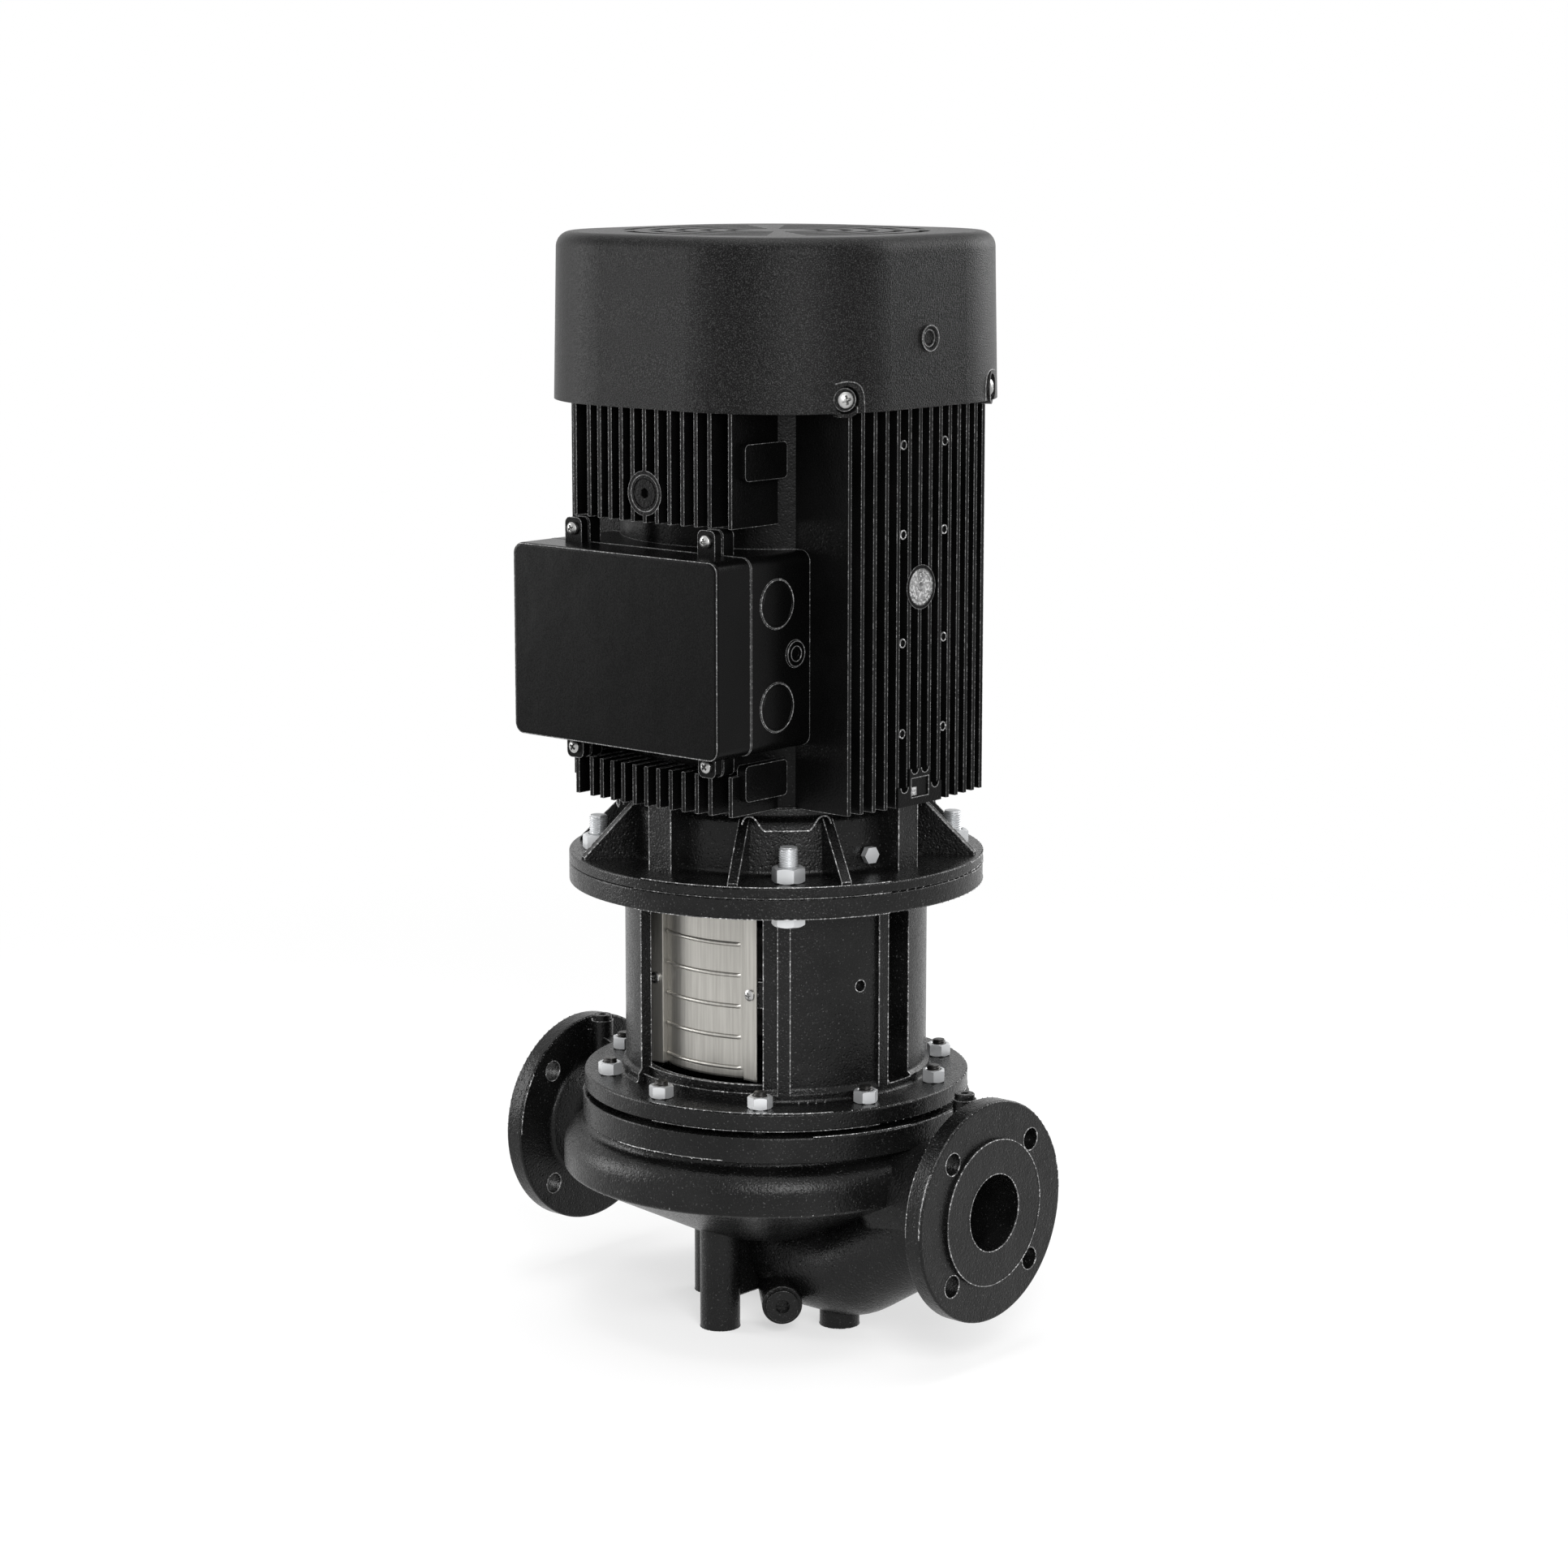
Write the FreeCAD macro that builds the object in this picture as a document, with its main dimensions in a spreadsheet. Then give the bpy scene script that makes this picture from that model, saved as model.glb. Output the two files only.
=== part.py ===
import FreeCAD
import Part
import math
import os
import re

import Sketcher

# Inline centrifugal pump with a flange motor on top, in millimetres.
# Z runs up along the shaft, the feet stand on Z 0, the suction flange faces +X
# and the terminal box faces -Y. Angles around the shaft start at -Y and turn towards +X.

os.makedirs("parts", exist_ok=True)
doc = FreeCAD.newDocument("inline_pump")
sheet = doc.addObject("Spreadsheet::Sheet", "Sizes")
sizes = {}
pieces = []


def put(**cells):
    for name, size in cells.items():
        row = len(sizes) + 1
        sheet.set("A%d" % row, name)
        sheet.set("B%d" % row, str(size))
        sheet.setAlias("B%d" % row, name)
        sizes[name] = size


# Pipe connection, a DN 65 PN 16 flange at each end
put(port_length=475, port_height=130, flange_diameter=185, flange_thickness=17, raised_diameter=122,
    raised_height=3, port_bore=65, flange_circle=145, flange_hole=19, outlet_hole=18, neck_radius=47, hub_length=22,
    hub_outer=54, tapping_setback=32, tapping_radius=9.5, tapping_rise=2, tapping_bore=6.5,
    tapping_depth=14)
# Pump housing
put(rim_radius=165, rim_level=195, rim_thickness=22, throat_radius=158, volute_radius=176, volute_shift=8,
    parting_level=130, shoulder_level=160, cone_foot_radius=72, cone_foot_level=78, wall=12,
    chamber_level=110, passage_top=151, passage_slope=26, spigot_radius=128, recess_radius=136.5,
    recess_depth=5, ring_seat_radius=48, ring_seat_level=100, bend_level=55, bend_reach=90,
    bend_start=209, bend_radius=46, bend_outer=44, outlet_end=142, outlet_root=118, gusset_thickness=12,
    foot_circle=72, foot_radius=17, foot_height=92, foot_hole=10.2, foot_hole_depth=14, web_width=13,
    web_clearance=24, drain_level=26, drain_reach=80, drain_radius=17, drain_bore=20, drain_depth=18,
    drain_turn=45)
# Studs between housing and stool
put(stud_count=10, stud_circle=288, stud_size=12, stud_depth=20, stud_rise=14, nut_width=18, nut_height=10.5,
    thread_gap=0.05, stud_clearance=1)
# Motor stool
put(stool_level=200, stool_flange_radius=163.5, stool_flange_thickness=15, stool_bore=112,
    sill_height=11, wall_radius=128, wall_thickness=9, stool_top=396, top_flange_thickness=17,
    top_flange_bore=106, window_turn=8, window_angle=57, window_level=228, sill_step=7, slot_turn=94, slot_angle=13.5,
    slot_radius=100, slot_wall=8, slot_ramp=28, strip_angle=4.5, strip_proud=3, first_strip_turn=44,
    second_strip_turn=84, motor_spigot=250, spigot_depth=6, spigot_gap=0.1, lug_turn_right=35.5,
    lug_turn_left=-32.5, lug_height=22, lug_angle=13, lug_web=5, lug_depth=10, tap_turn=74,
    tap_lift=8, tap_radius=5, tap_depth=7)
# Coupling guards of sheet metal
put(guard_radius=108, guard_thickness=1.2, guard_gap=0.3, guard_turn=2, guard_angle=66, guard_level=228,
    guard_top=378, guard_rib_count=5, guard_rib_pitch=26.2, guard_first_rib=236.5, guard_rib_height=1.6,
    guard_rib_width=2.5, guard_screw_turn=32, guard_screw_left=-28, guard_screw_level=301,
    guard_screw_size=5, guard_screw_head=9.5, guard_head_height=3, guard_screw_depth=9)
# Motor, frame size 160 with a 350 mm flange
put(motor_flange_radius=175, motor_flange_thickness=9, bolt_circle=300, bolt_size=16, bolt_hole=18,
    bolt_width=24, bolt_head_height=10, bolt_nut_height=13, bolt_end=434, shield_radius=122,
    shield_rim=134, frame_level=462, frame_top=790, barrel_bore=244, barrel_wall=8, fin_reach=160,
    fin_sag=8, outer_fin=85, side_fin_pitch=13.08, front_fin_pitch=13.2, fin_thickness=3.4,
    fin_root=92, fin_clearance=20.5, shield_rib=8, rib_spread=15.7, rib_reach=170, rib_top=451, pad_radius=144, pad_width=24,
    foot_lug_length=52, foot_lug_height=29, foot_lug_top=760, foot_lug_low=503, foot_lug_depth=9,
    frame_spigot=6, ear_radius=10, ear_length=26)
# Shaft line
put(shaft_end_radius=21, shaft_end_level=286, seat_radius=22.5, shaft_radius=28, fan_seat_radius=17,
    shaft_top=852, bearing_level=431, bearing_width=19, bearing_radius=42.5, fan_bearing_level=752,
    ball_circle=65, ball_size=12.6, ball_gap=0.15, race_land=4.6, core_level=520,
    core_top=700, core_inner=78, air_gap=0.6, winding_height=27, winding_outer=112, winding_inner=84,
    end_ring_height=12, end_ring_inner=50, lip_height=7, lip_radius=30, fit_gap=0.05)
# Pump shaft, impeller and seal
put(pump_shaft_radius=14, pump_shaft_top=283, impeller_level=113, impeller_radius=105, outlet_width=12,
    shroud_thickness=4, hub_radius=21, hub_top=143, hub_foot=110, neck_outer=41.7, neck_inner=37,
    neck_level=101, vane_count=6, vane_thickness=4, vane_arc=75, vane_offset=50, vane_inner=42,
    ring_gap=0.3, impeller_nut_height=12, impeller_nut_width=30, washer_thickness=2.5, washer_radius=17,
    thread_radius=10, thread_end=93, cover_floor=140, cover_thickness=14, seal_bore=27, seal_top=188,
    seal_hub=45, seal_hub_top=197, shaft_hole=16, cover_rim_gap=0.8, cover_gap=0.3,
    seal_seat_height=10, seal_ring_height=8, seal_ring_radius=23, bellows_radius=22, bellows_inner=17,
    bellows_folds=3, seal_face_gap=0.1, gasket_height=1, vent_turn=225, vent_reach=80,
    vent_width=17, vent_height=8)
# Shell coupling
put(coupling_level=250, coupling_top=345, coupling_radius=46, coupling_split=3, clamp_size=10,
    clamp_head=16, clamp_head_height=10, clamp_offset=33, clamp_inset=24, clamp_seat=15, clamp_grip=22, pin_size=8,
    pin_level=266, pin_length=56)
# Fan and its cover
put(fan_level=810, fan_disc=4, fan_radius=130, fan_hub_radius=30, fan_hub_foot=800, fan_hub_top=840,
    fan_blade_height=34, fan_blade_count=8, fan_blade_thickness=4, fan_blade_inner=60, clip_thickness=2,
    clip_radius=23, cover_level=785, cover_top=922, cover_half=164, cover_corner=116, cover_wall_plate=3,
    cover_edge=13, cover_draft=1.2, grille_rings=5, grille_pitch=21, grille_slot=9, grille_inner=34,
    grille_angle=76, cover_screw_turn=59, cover_screw_level=795.5, cover_screw_size=6, cover_screw_seat=165,
    cover_screw_head=13, cover_screw_height=5, cover_plug_level=840, cover_plug_radius=11,
    cover_plug_height=2.5)
# Terminal box
put(box_half=112, box_level=515, box_height=158, box_face=198, box_joint=159, box_back=87, box_wall=5,
    box_floor=5, lid_wall=4, box_corner=9, gasket_thickness=2, box_gap=0.4, lid_lug_offset=73,
    lid_lug_radius=9, lid_lug_rise=11, lid_lug_depth=8, base_lug_depth=12, lid_screw_size=5, lid_screw_head=10.5, lid_screw_height=4,
    knockout_radius=20, knockout_depth=3, knockout_setback=127, knockout_top=634,
    knockout_low=551, knockout_gap=0.3, blank_radius=11, blank_setback=105, blank_level=592,
    block_width=92, block_height=56, block_depth=16, post_size=6, post_pitch=28, post_row=26,
    post_rise=12)
# Small fittings
put(gauge_plug_head=17, gauge_plug_height=5, drain_plug_head=12, frame_plug_radius=15,
    frame_plug_depth=6, plug_boss_radius=18, front_plug_level=717, side_plug_level=640, side_plug_offset=5, earth_turn=78,
    earth_level=418, earth_screw=8, earth_hex=13)
doc.recompute()


def bound(text):
    return re.sub(r"[a-z][a-z_]*[a-z]", lambda word: "Sizes." + word.group(0) if word.group(0) in sizes
                  else word.group(0), str(text))


def size(text):
    result = sheet.evalExpression(bound(text))
    return float(getattr(result, "Value", result))


def piece(name, several=False):
    body = doc.addObject("PartDesign::Body", name)
    body.Label = name
    body.AllowCompound = several
    pieces.append(body)
    return body


def origin(body, role):
    return next(part for part in body.Origin.OriginFeatures if part.Role == role)


# A sketch on one of the body's own planes, moved along its normal or turned about the shaft
def drawing(body, role, level=None, turn=None, side=None, lift=None):
    sketch = body.newObject("Sketcher::SketchObject", body.Name + "_sketch")
    sketch.AttachmentSupport = [(origin(body, role), "")]
    sketch.MapMode = "FlatFace"
    if turn is not None:
        sketch.AttachmentOffset = FreeCAD.Placement(FreeCAD.Vector(), FreeCAD.Rotation(FreeCAD.Vector(0, 1, 0), 1))
        sketch.setExpression("AttachmentOffset.Rotation.Angle", bound("%s + 270" % turn))
    for axis, text in (("z", level), ("x", side), ("y", lift)):
        if text is not None:
            sketch.setExpression("AttachmentOffset.Base." + axis, bound(text))
    return sketch


# A sketch whose own middle lies on a radial line, at a reach from the shaft
def facing(body, turn, reach, lift=None):
    return drawing(body, "YZ_Plane", turn=turn, level="(%s) * sin(%s)" % (reach, turn),
                   side="0 - (%s) * cos(%s)" % (reach, turn), lift=lift)


def fix(sketch, kind, place, text):
    index = sketch.addConstraint(Sketcher.Constraint(kind, *place, size(text)))
    sketch.setExpression("Constraints[%d]" % index, bound(text))


# Closed outline through corners (x, y) or (x, y, rounding), each bound to the sheet
def outline(sketch, corners):
    count = len(corners)
    spots = [FreeCAD.Vector(size(corner[0]), size(corner[1]), 0) for corner in corners]
    radii = [size(corner[2]) if len(corner) > 2 else 0 for corner in corners]
    starts = list(spots)
    ends = [spots[(index + 1) % count] for index in range(count)]
    middles = [None] * count
    for index in range(count):
        if not radii[index]:
            continue
        here = spots[index]
        back = (spots[index - 1] - here).normalize()
        ahead = (spots[(index + 1) % count] - here).normalize()
        half = math.acos(back.dot(ahead)) / 2
        reach = radii[index] / math.tan(half)
        ends[index - 1] = here + back * reach
        starts[index] = here + ahead * reach
        bisector = (back + ahead).normalize()
        middles[index] = here + bisector * (radii[index] / math.sin(half) - radii[index])
    lines = [sketch.addGeometry(Part.LineSegment(starts[index], ends[index])) for index in range(count)]
    for index in range(count):
        spot = sketch.addGeometry(Part.Point(spots[index]), True)
        fix(sketch, "DistanceX", (-1, 1, spot, 1), corners[index][0])
        fix(sketch, "DistanceY", (-1, 1, spot, 1), corners[index][1])
        before, after = lines[index - 1], lines[index]
        if not radii[index]:
            sketch.addConstraint(Sketcher.Constraint("Coincident", before, 2, spot, 1))
            sketch.addConstraint(Sketcher.Constraint("Coincident", after, 1, spot, 1))
            continue
        arc = sketch.addGeometry(Part.Arc(ends[index - 1], middles[index], starts[index]))
        forward = sketch.getPoint(arc, 1).distanceToPoint(ends[index - 1]) < sketch.getPoint(
            arc, 2).distanceToPoint(ends[index - 1])
        near, far = (1, 2) if forward else (2, 1)
        sketch.addConstraint(Sketcher.Constraint("PointOnObject", spot, 1, before))
        sketch.addConstraint(Sketcher.Constraint("PointOnObject", spot, 1, after))
        sketch.addConstraint(Sketcher.Constraint("Tangent", before, 2, arc, near))
        sketch.addConstraint(Sketcher.Constraint("Tangent", arc, far, after, 1))
        fix(sketch, "Radius", (arc,), corners[index][2])
    return lines


# Open path through corners, with an arc at each rounded one
def path(sketch, corners):
    lines = outline(sketch, corners)
    sketch.delGeometries([lines[-1]])
    return sketch


def circle(sketch, x, y, radius):
    shape = Part.Circle(FreeCAD.Vector(size(x), size(y), 0), FreeCAD.Vector(0, 0, 1), size(radius))
    index = sketch.addGeometry(shape)
    fix(sketch, "DistanceX", (-1, 1, index, 3), x)
    fix(sketch, "DistanceY", (-1, 1, index, 3), y)
    fix(sketch, "Radius", (index,), radius)


def rectangle(sketch, left, right, low, high, corner=None):
    rounding = (corner,) if corner else ()
    outline(sketch, [(left, low) + rounding, (right, low) + rounding, (right, high) + rounding,
                     (left, high) + rounding])


def hexagon(sketch, x, y, width):
    across = "(%s) / 2" % width
    corner = "(%s) / sqrt(3)" % width
    middle = "(%s) / sqrt(12)" % width
    outline(sketch, [("%s + %s" % (x, corner), y), ("%s + %s" % (x, middle), "%s + %s" % (y, across)),
                     ("%s - %s" % (x, middle), "%s + %s" % (y, across)), ("%s - %s" % (x, corner), y),
                     ("%s - %s" % (x, middle), "%s - %s" % (y, across)),
                     ("%s + %s" % (x, middle), "%s - %s" % (y, across))])


# Revolved feature about the sketch's own upright axis, added or cut
def turned(body, corners, cut=False, angle=None, axis="V_Axis", **place):
    sketch = drawing(body, "XZ_Plane", **place)
    outline(sketch, corners)
    feature = body.newObject("PartDesign::Groove" if cut else "PartDesign::Revolution", body.Name + "_turned")
    feature.Profile = sketch
    feature.ReferenceAxis = (sketch, [axis])
    feature.Angle = 360
    feature.Refine = False
    if angle is not None:
        feature.Midplane = True
        feature.setExpression("Angle", bound(angle))
    return feature


def padded(body, sketch, length, both=False, back=False):
    feature = body.newObject("PartDesign::Pad", body.Name + "_pad")
    feature.Profile = sketch
    feature.setExpression("Length", bound(length))
    feature.Midplane = both
    feature.Reversed = back
    feature.Refine = False
    return feature


def pocketed(body, sketch, length, both=False, back=False):
    feature = body.newObject("PartDesign::Pocket", body.Name + "_pocket")
    feature.Profile = sketch
    feature.setExpression("Length", bound(length))
    feature.Midplane = both
    feature.Reversed = back
    feature.Refine = False
    return feature


def piped(body, profile, spine, cut=False):
    kind = "PartDesign::SubtractivePipe" if cut else "PartDesign::AdditivePipe"
    feature = body.newObject(kind, body.Name + "_pipe")
    feature.Profile = profile
    feature.Spine = spine
    feature.Transition = "Round corner"
    return feature


# Copies of features around the shaft; the count may be a size or a number
def around(body, features, count, angle=360):
    pattern = body.newObject("PartDesign::PolarPattern", body.Name + "_around")
    pattern.Originals = features
    pattern.Axis = (origin(body, "Z_Axis"), [""])
    pattern.Angle = angle
    pattern.setExpression("Occurrences", bound(count))
    pattern.Refine = False
    body.Tip = pattern
    return pattern


def mirrored(body, features, role):
    mirror = body.newObject("PartDesign::Mirrored", body.Name + "_mirror")
    mirror.Originals = features
    mirror.MirrorPlane = (origin(body, role), [""])
    mirror.Refine = False
    body.Tip = mirror
    return mirror


# Outline of the bent suction passage, from the flange face down to the eye of the impeller
def suction_line(body):
    return path(drawing(body, "XZ_Plane"), [
        ("port_length / 2", "port_height"), ("bend_start", "port_height", "bend_radius"),
        ("bend_reach", "bend_level", "bend_radius"), (0, "bend_level", "bend_radius"),
        (0, "ring_seat_level + raised_height")])


def suction_circle(body, radius):
    sketch = drawing(body, "YZ_Plane", level="port_length / 2")
    circle(sketch, 0, "port_height", radius)
    return sketch


FLANGE_BACK = "port_length / 2 - raised_height - flange_thickness"
FLANGE_FACE = "port_length / 2 - raised_height"

# Pump housing: a spiral casing, wider towards the discharge side, under a round studded rim
housing = piece("pump_housing")
turned(housing, [(0, "rim_level - rim_thickness"), ("rim_radius", "rim_level - rim_thickness", 2),
                 ("rim_radius", "rim_level", 1.5), (0, "rim_level")])
turned(housing, [(0, "cone_foot_level"), ("cone_foot_radius", "cone_foot_level", 6),
                 ("volute_radius", "parting_level", 4), ("volute_radius", "shoulder_level", 20),
                 ("throat_radius", "rim_level - rim_thickness - 6", 5),
                 ("throat_radius", "rim_level - wall"), (0, "rim_level - wall")],
       side="0 - volute_shift")
flange = turned(housing, [
    ("outlet_root", 0), ("outlet_root", "neck_radius", 22),
    (FLANGE_BACK + " - hub_length", "neck_radius", 20), (FLANGE_BACK, "hub_outer", 5),
    (FLANGE_BACK, "flange_diameter / 2", 2), (FLANGE_FACE, "flange_diameter / 2", 2),
    (FLANGE_FACE, "raised_diameter / 2"), ("port_length / 2", "raised_diameter / 2"), ("port_length / 2", 0)],
    lift="port_height", axis="H_Axis")
boss_sketch = drawing(housing, "XY_Plane", level="port_height")
circle(boss_sketch, "port_length / 2 - tapping_setback", 0, "tapping_radius")
boss = padded(housing, boss_sketch, "flange_diameter / 2 - tapping_rise")
mirrored(housing, [flange, boss], "YZ_Plane")
piped(housing, suction_circle(housing, "bend_outer"), suction_line(housing))
gusset_sketch = drawing(housing, "XZ_Plane")
outline(gusset_sketch, [("0 - rim_radius + wall", "port_height"), ("0 - (%s) - 3" % FLANGE_BACK, "port_height"),
                        ("0 - (%s) - 3" % FLANGE_BACK, "port_height + flange_diameter / 2 - 9", 6),
                        ("0 - rim_radius + wall", "rim_level - 3")])
padded(housing, gusset_sketch, "gusset_thickness", both=True)
post_sketch = drawing(housing, "XY_Plane")
circle(post_sketch, "foot_circle", 0, "foot_radius")
post = padded(housing, post_sketch, "foot_height")
web_sketch = drawing(housing, "XZ_Plane")
rectangle(web_sketch, 0, "foot_circle", "web_clearance", "foot_height")
web = padded(housing, web_sketch, "web_width", both=True)
around(housing, [post, web], 4)
turned(housing, [("foot_radius", 0), ("foot_radius", "drain_radius"), ("drain_reach", "drain_radius", 1.5),
                 ("drain_reach", 0)], turn="drain_turn", lift="drain_level", axis="H_Axis")
turned(housing, [(0, "chamber_level"), ("impeller_radius + ring_gap * 10", "chamber_level"),
                 ("impeller_radius + ring_gap * 10", "cover_floor"), ("spigot_radius", "cover_floor"),
                 ("spigot_radius", "rim_level - recess_depth"), ("recess_radius", "rim_level - recess_depth"),
                 ("recess_radius", "rim_level + 1"), (0, "rim_level + 1")], cut=True)
turned(housing, [("impeller_radius - wall", "chamber_level + 1"),
                 ("impeller_radius + 10", "chamber_level + 1"),
                 ("volute_radius - wall", "chamber_level + passage_slope", 6),
                 ("volute_radius - wall", "passage_top", 6), ("impeller_radius - wall", "passage_top")],
       cut=True, side="0 - volute_shift")
turned(housing, [(0, "ring_seat_level"), ("ring_seat_radius", "ring_seat_level"),
                 ("ring_seat_radius", "chamber_level + 1"), (0, "chamber_level + 1")], cut=True)
piped(housing, suction_circle(housing, "port_bore / 2"), suction_line(housing), cut=True)
turned(housing, [("0 - port_length / 2 - 1", 0), ("0 - port_length / 2 - 1", "port_bore / 2"),
                 ("0 - outlet_end", "port_bore / 2", 14), ("0 - outlet_end", 0)],
       cut=True, lift="port_height", axis="H_Axis")
for side, drilled in ((1, "flange_hole / 2"), (-1, "outlet_hole / 2")):
    hole_sketch = drawing(housing, "YZ_Plane", level="%d * port_length / 2" % side)
    for across in (-1, 1):
        for up in (-1, 1):
            circle(hole_sketch, "%d * flange_circle / sqrt(8)" % across,
                   "port_height + %d * flange_circle / sqrt(8)" % up, drilled)
    pocketed(housing, hole_sketch, "flange_thickness + raised_height + 1", back=side < 0)
tapping_sketch = drawing(housing, "XY_Plane", level="port_height + flange_diameter / 2 - tapping_rise")
circle(tapping_sketch, "port_length / 2 - tapping_setback", 0, "tapping_bore")
tapping = pocketed(housing, tapping_sketch, "tapping_depth")
mirrored(housing, [tapping], "YZ_Plane")
stud_hole = drawing(housing, "XY_Plane", level="rim_level")
circle(stud_hole, 0, "0 - stud_circle / 2", "stud_size / 2 + thread_gap")
around(housing, [pocketed(housing, stud_hole, "stud_depth")], "stud_count")
foot_hole = drawing(housing, "XY_Plane")
circle(foot_hole, "foot_circle", 0, "foot_hole / 2")
around(housing, [pocketed(housing, foot_hole, "foot_hole_depth", back=True)], 4)
turned(housing, [("drain_reach - drain_depth", 0), ("drain_reach - drain_depth", "drain_bore / 2"),
                 ("drain_reach + 1", "drain_bore / 2"), ("drain_reach + 1", 0)],
       cut=True, turn="drain_turn", lift="drain_level", axis="H_Axis")

# Drain plug with a hexagon socket
drain = piece("drain_plug")
turned(drain, [("drain_reach - drain_depth + 2", 0), ("drain_reach - drain_depth + 2", "drain_bore / 2 - thread_gap"),
               ("drain_reach", "drain_bore / 2 - thread_gap"), ("drain_reach", "drain_bore / 2 + 4"),
               ("drain_reach + 4", "drain_bore / 2 + 4", 1), ("drain_reach + 4", "drain_plug_head / 2"),
               ("drain_reach - 3", "drain_plug_head / 2"), ("drain_reach - 3", 0)],
       turn="drain_turn", lift="drain_level", axis="H_Axis")

# Gauge plugs with hexagon heads on both necks
gauge = piece("gauge_plugs", several=True)
TAPPING_FACE = "port_height + flange_diameter / 2 - tapping_rise"
stem_sketch = drawing(gauge, "XY_Plane", level=TAPPING_FACE)
circle(stem_sketch, "port_length / 2 - tapping_setback", 0, "tapping_bore - thread_gap")
stem = padded(gauge, stem_sketch, "tapping_depth - 2", back=True)
cap_sketch = drawing(gauge, "XY_Plane", level=TAPPING_FACE)
hexagon(cap_sketch, "port_length / 2 - tapping_setback", 0, "gauge_plug_head")
mirrored(gauge, [stem, padded(gauge, cap_sketch, "gauge_plug_height")], "YZ_Plane")

# Wear ring around the neck of the impeller
wear = piece("housing_wear_ring")
turned(wear, [("neck_outer + ring_gap", "ring_seat_level"), ("ring_seat_radius - fit_gap", "ring_seat_level"),
              ("ring_seat_radius - fit_gap", "chamber_level"), ("neck_outer + ring_gap", "chamber_level")])

# Closed impeller with backward curved vanes between its two shrouds
BACK_SHROUD = "impeller_level + shroud_thickness + outlet_width"
impeller = piece("impeller", several=True)
turned(impeller, [("pump_shaft_radius + fit_gap", "hub_foot"), ("hub_radius - 3", "hub_foot", 2),
                  ("hub_radius + 5", BACK_SHROUD, 12), ("impeller_radius", BACK_SHROUD),
                  ("impeller_radius", BACK_SHROUD + " + shroud_thickness", 1),
                  ("hub_radius", BACK_SHROUD + " + shroud_thickness", 3), ("hub_radius", "hub_top", 1),
                  ("pump_shaft_radius + fit_gap", "hub_top")])
turned(impeller, [("neck_inner", "neck_level"), ("neck_outer", "neck_level", 0.5),
                  ("neck_outer", "impeller_level", 2), ("impeller_radius", "impeller_level", 1),
                  ("impeller_radius", "impeller_level + shroud_thickness"),
                  ("neck_inner", "impeller_level + shroud_thickness", 2.5)])
VANE_END = "acos(((%s)^2 - vane_offset^2 - vane_arc^2) / (2 * vane_offset * vane_arc)) / 1 deg"
vane_inner = VANE_END % "vane_inner"
vane_outer = VANE_END % "impeller_radius - 2"
vane = turned(impeller, [("vane_arc - vane_thickness / 2", "impeller_level + shroud_thickness / 2"),
                         ("vane_arc + vane_thickness / 2", "impeller_level + shroud_thickness / 2"),
                         ("vane_arc + vane_thickness / 2", BACK_SHROUD + " + shroud_thickness / 2"),
                         ("vane_arc - vane_thickness / 2", BACK_SHROUD + " + shroud_thickness / 2")],
              angle="%s - %s" % (vane_inner, vane_outer), turn="(%s + %s) / 2" % (vane_inner, vane_outer),
              level="vane_offset")
around(impeller, [vane], "vane_count")

# Lock washer and nut hold the impeller on the threaded end of the pump shaft
washer = piece("impeller_lock_washer")
turned(washer, [("thread_radius + fit_gap", "hub_foot - washer_thickness"),
                ("washer_radius", "hub_foot - washer_thickness"), ("washer_radius", "hub_foot"),
                ("thread_radius + fit_gap", "hub_foot")])
nut = piece("impeller_nut")
nut_sketch = drawing(nut, "XY_Plane", level="hub_foot - washer_thickness")
hexagon(nut_sketch, 0, 0, "impeller_nut_width")
circle(nut_sketch, 0, 0, "thread_radius + fit_gap")
padded(nut, nut_sketch, "impeller_nut_height", back=True)

pump_shaft = piece("pump_shaft")
turned(pump_shaft, [(0, "thread_end"), ("thread_radius", "thread_end", 1.5), ("thread_radius", "hub_foot"),
                    ("pump_shaft_radius", "hub_foot"), ("pump_shaft_radius", "pump_shaft_top", 1),
                    (0, "pump_shaft_top")])
pin_hole = drawing(pump_shaft, "YZ_Plane")
circle(pin_hole, 0, "pin_level", "pin_size / 2 + fit_gap")
pocketed(pump_shaft, pin_hole, "pin_length", both=True)

# Seal cover: a dish that hangs in the housing, with the seal chamber in its hub
cover = piece("seal_cover")
turned(cover, [("seal_bore", "cover_floor"), ("spigot_radius - cover_gap", "cover_floor", 1),
               ("spigot_radius - cover_gap", "rim_level - recess_depth + gasket_height"),
               ("recess_radius - cover_rim_gap", "rim_level - recess_depth + gasket_height"),
               ("recess_radius - cover_rim_gap", "stool_level"), ("stool_bore", "stool_level"),
               ("stool_bore", "cover_floor + cover_thickness", 8),
               ("seal_hub", "cover_floor + cover_thickness", 8), ("seal_hub", "seal_hub_top", 2),
               ("shaft_hole", "seal_hub_top"), ("shaft_hole", "seal_top"), ("seal_bore", "seal_top")])
vent_hole = drawing(cover, "XY_Plane", level="cover_floor + cover_thickness")
circle(vent_hole, "vent_reach * sin(vent_turn)", "0 - vent_reach * cos(vent_turn)", "tapping_bore")
pocketed(cover, vent_hole, "cover_thickness")

gasket = piece("cover_gasket")
turned(gasket, [("spigot_radius + cover_gap", "rim_level - recess_depth"),
                ("recess_radius - cover_rim_gap", "rim_level - recess_depth"),
                ("recess_radius - cover_rim_gap", "rim_level - recess_depth + gasket_height"),
                ("spigot_radius + cover_gap", "rim_level - recess_depth + gasket_height")])

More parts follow.
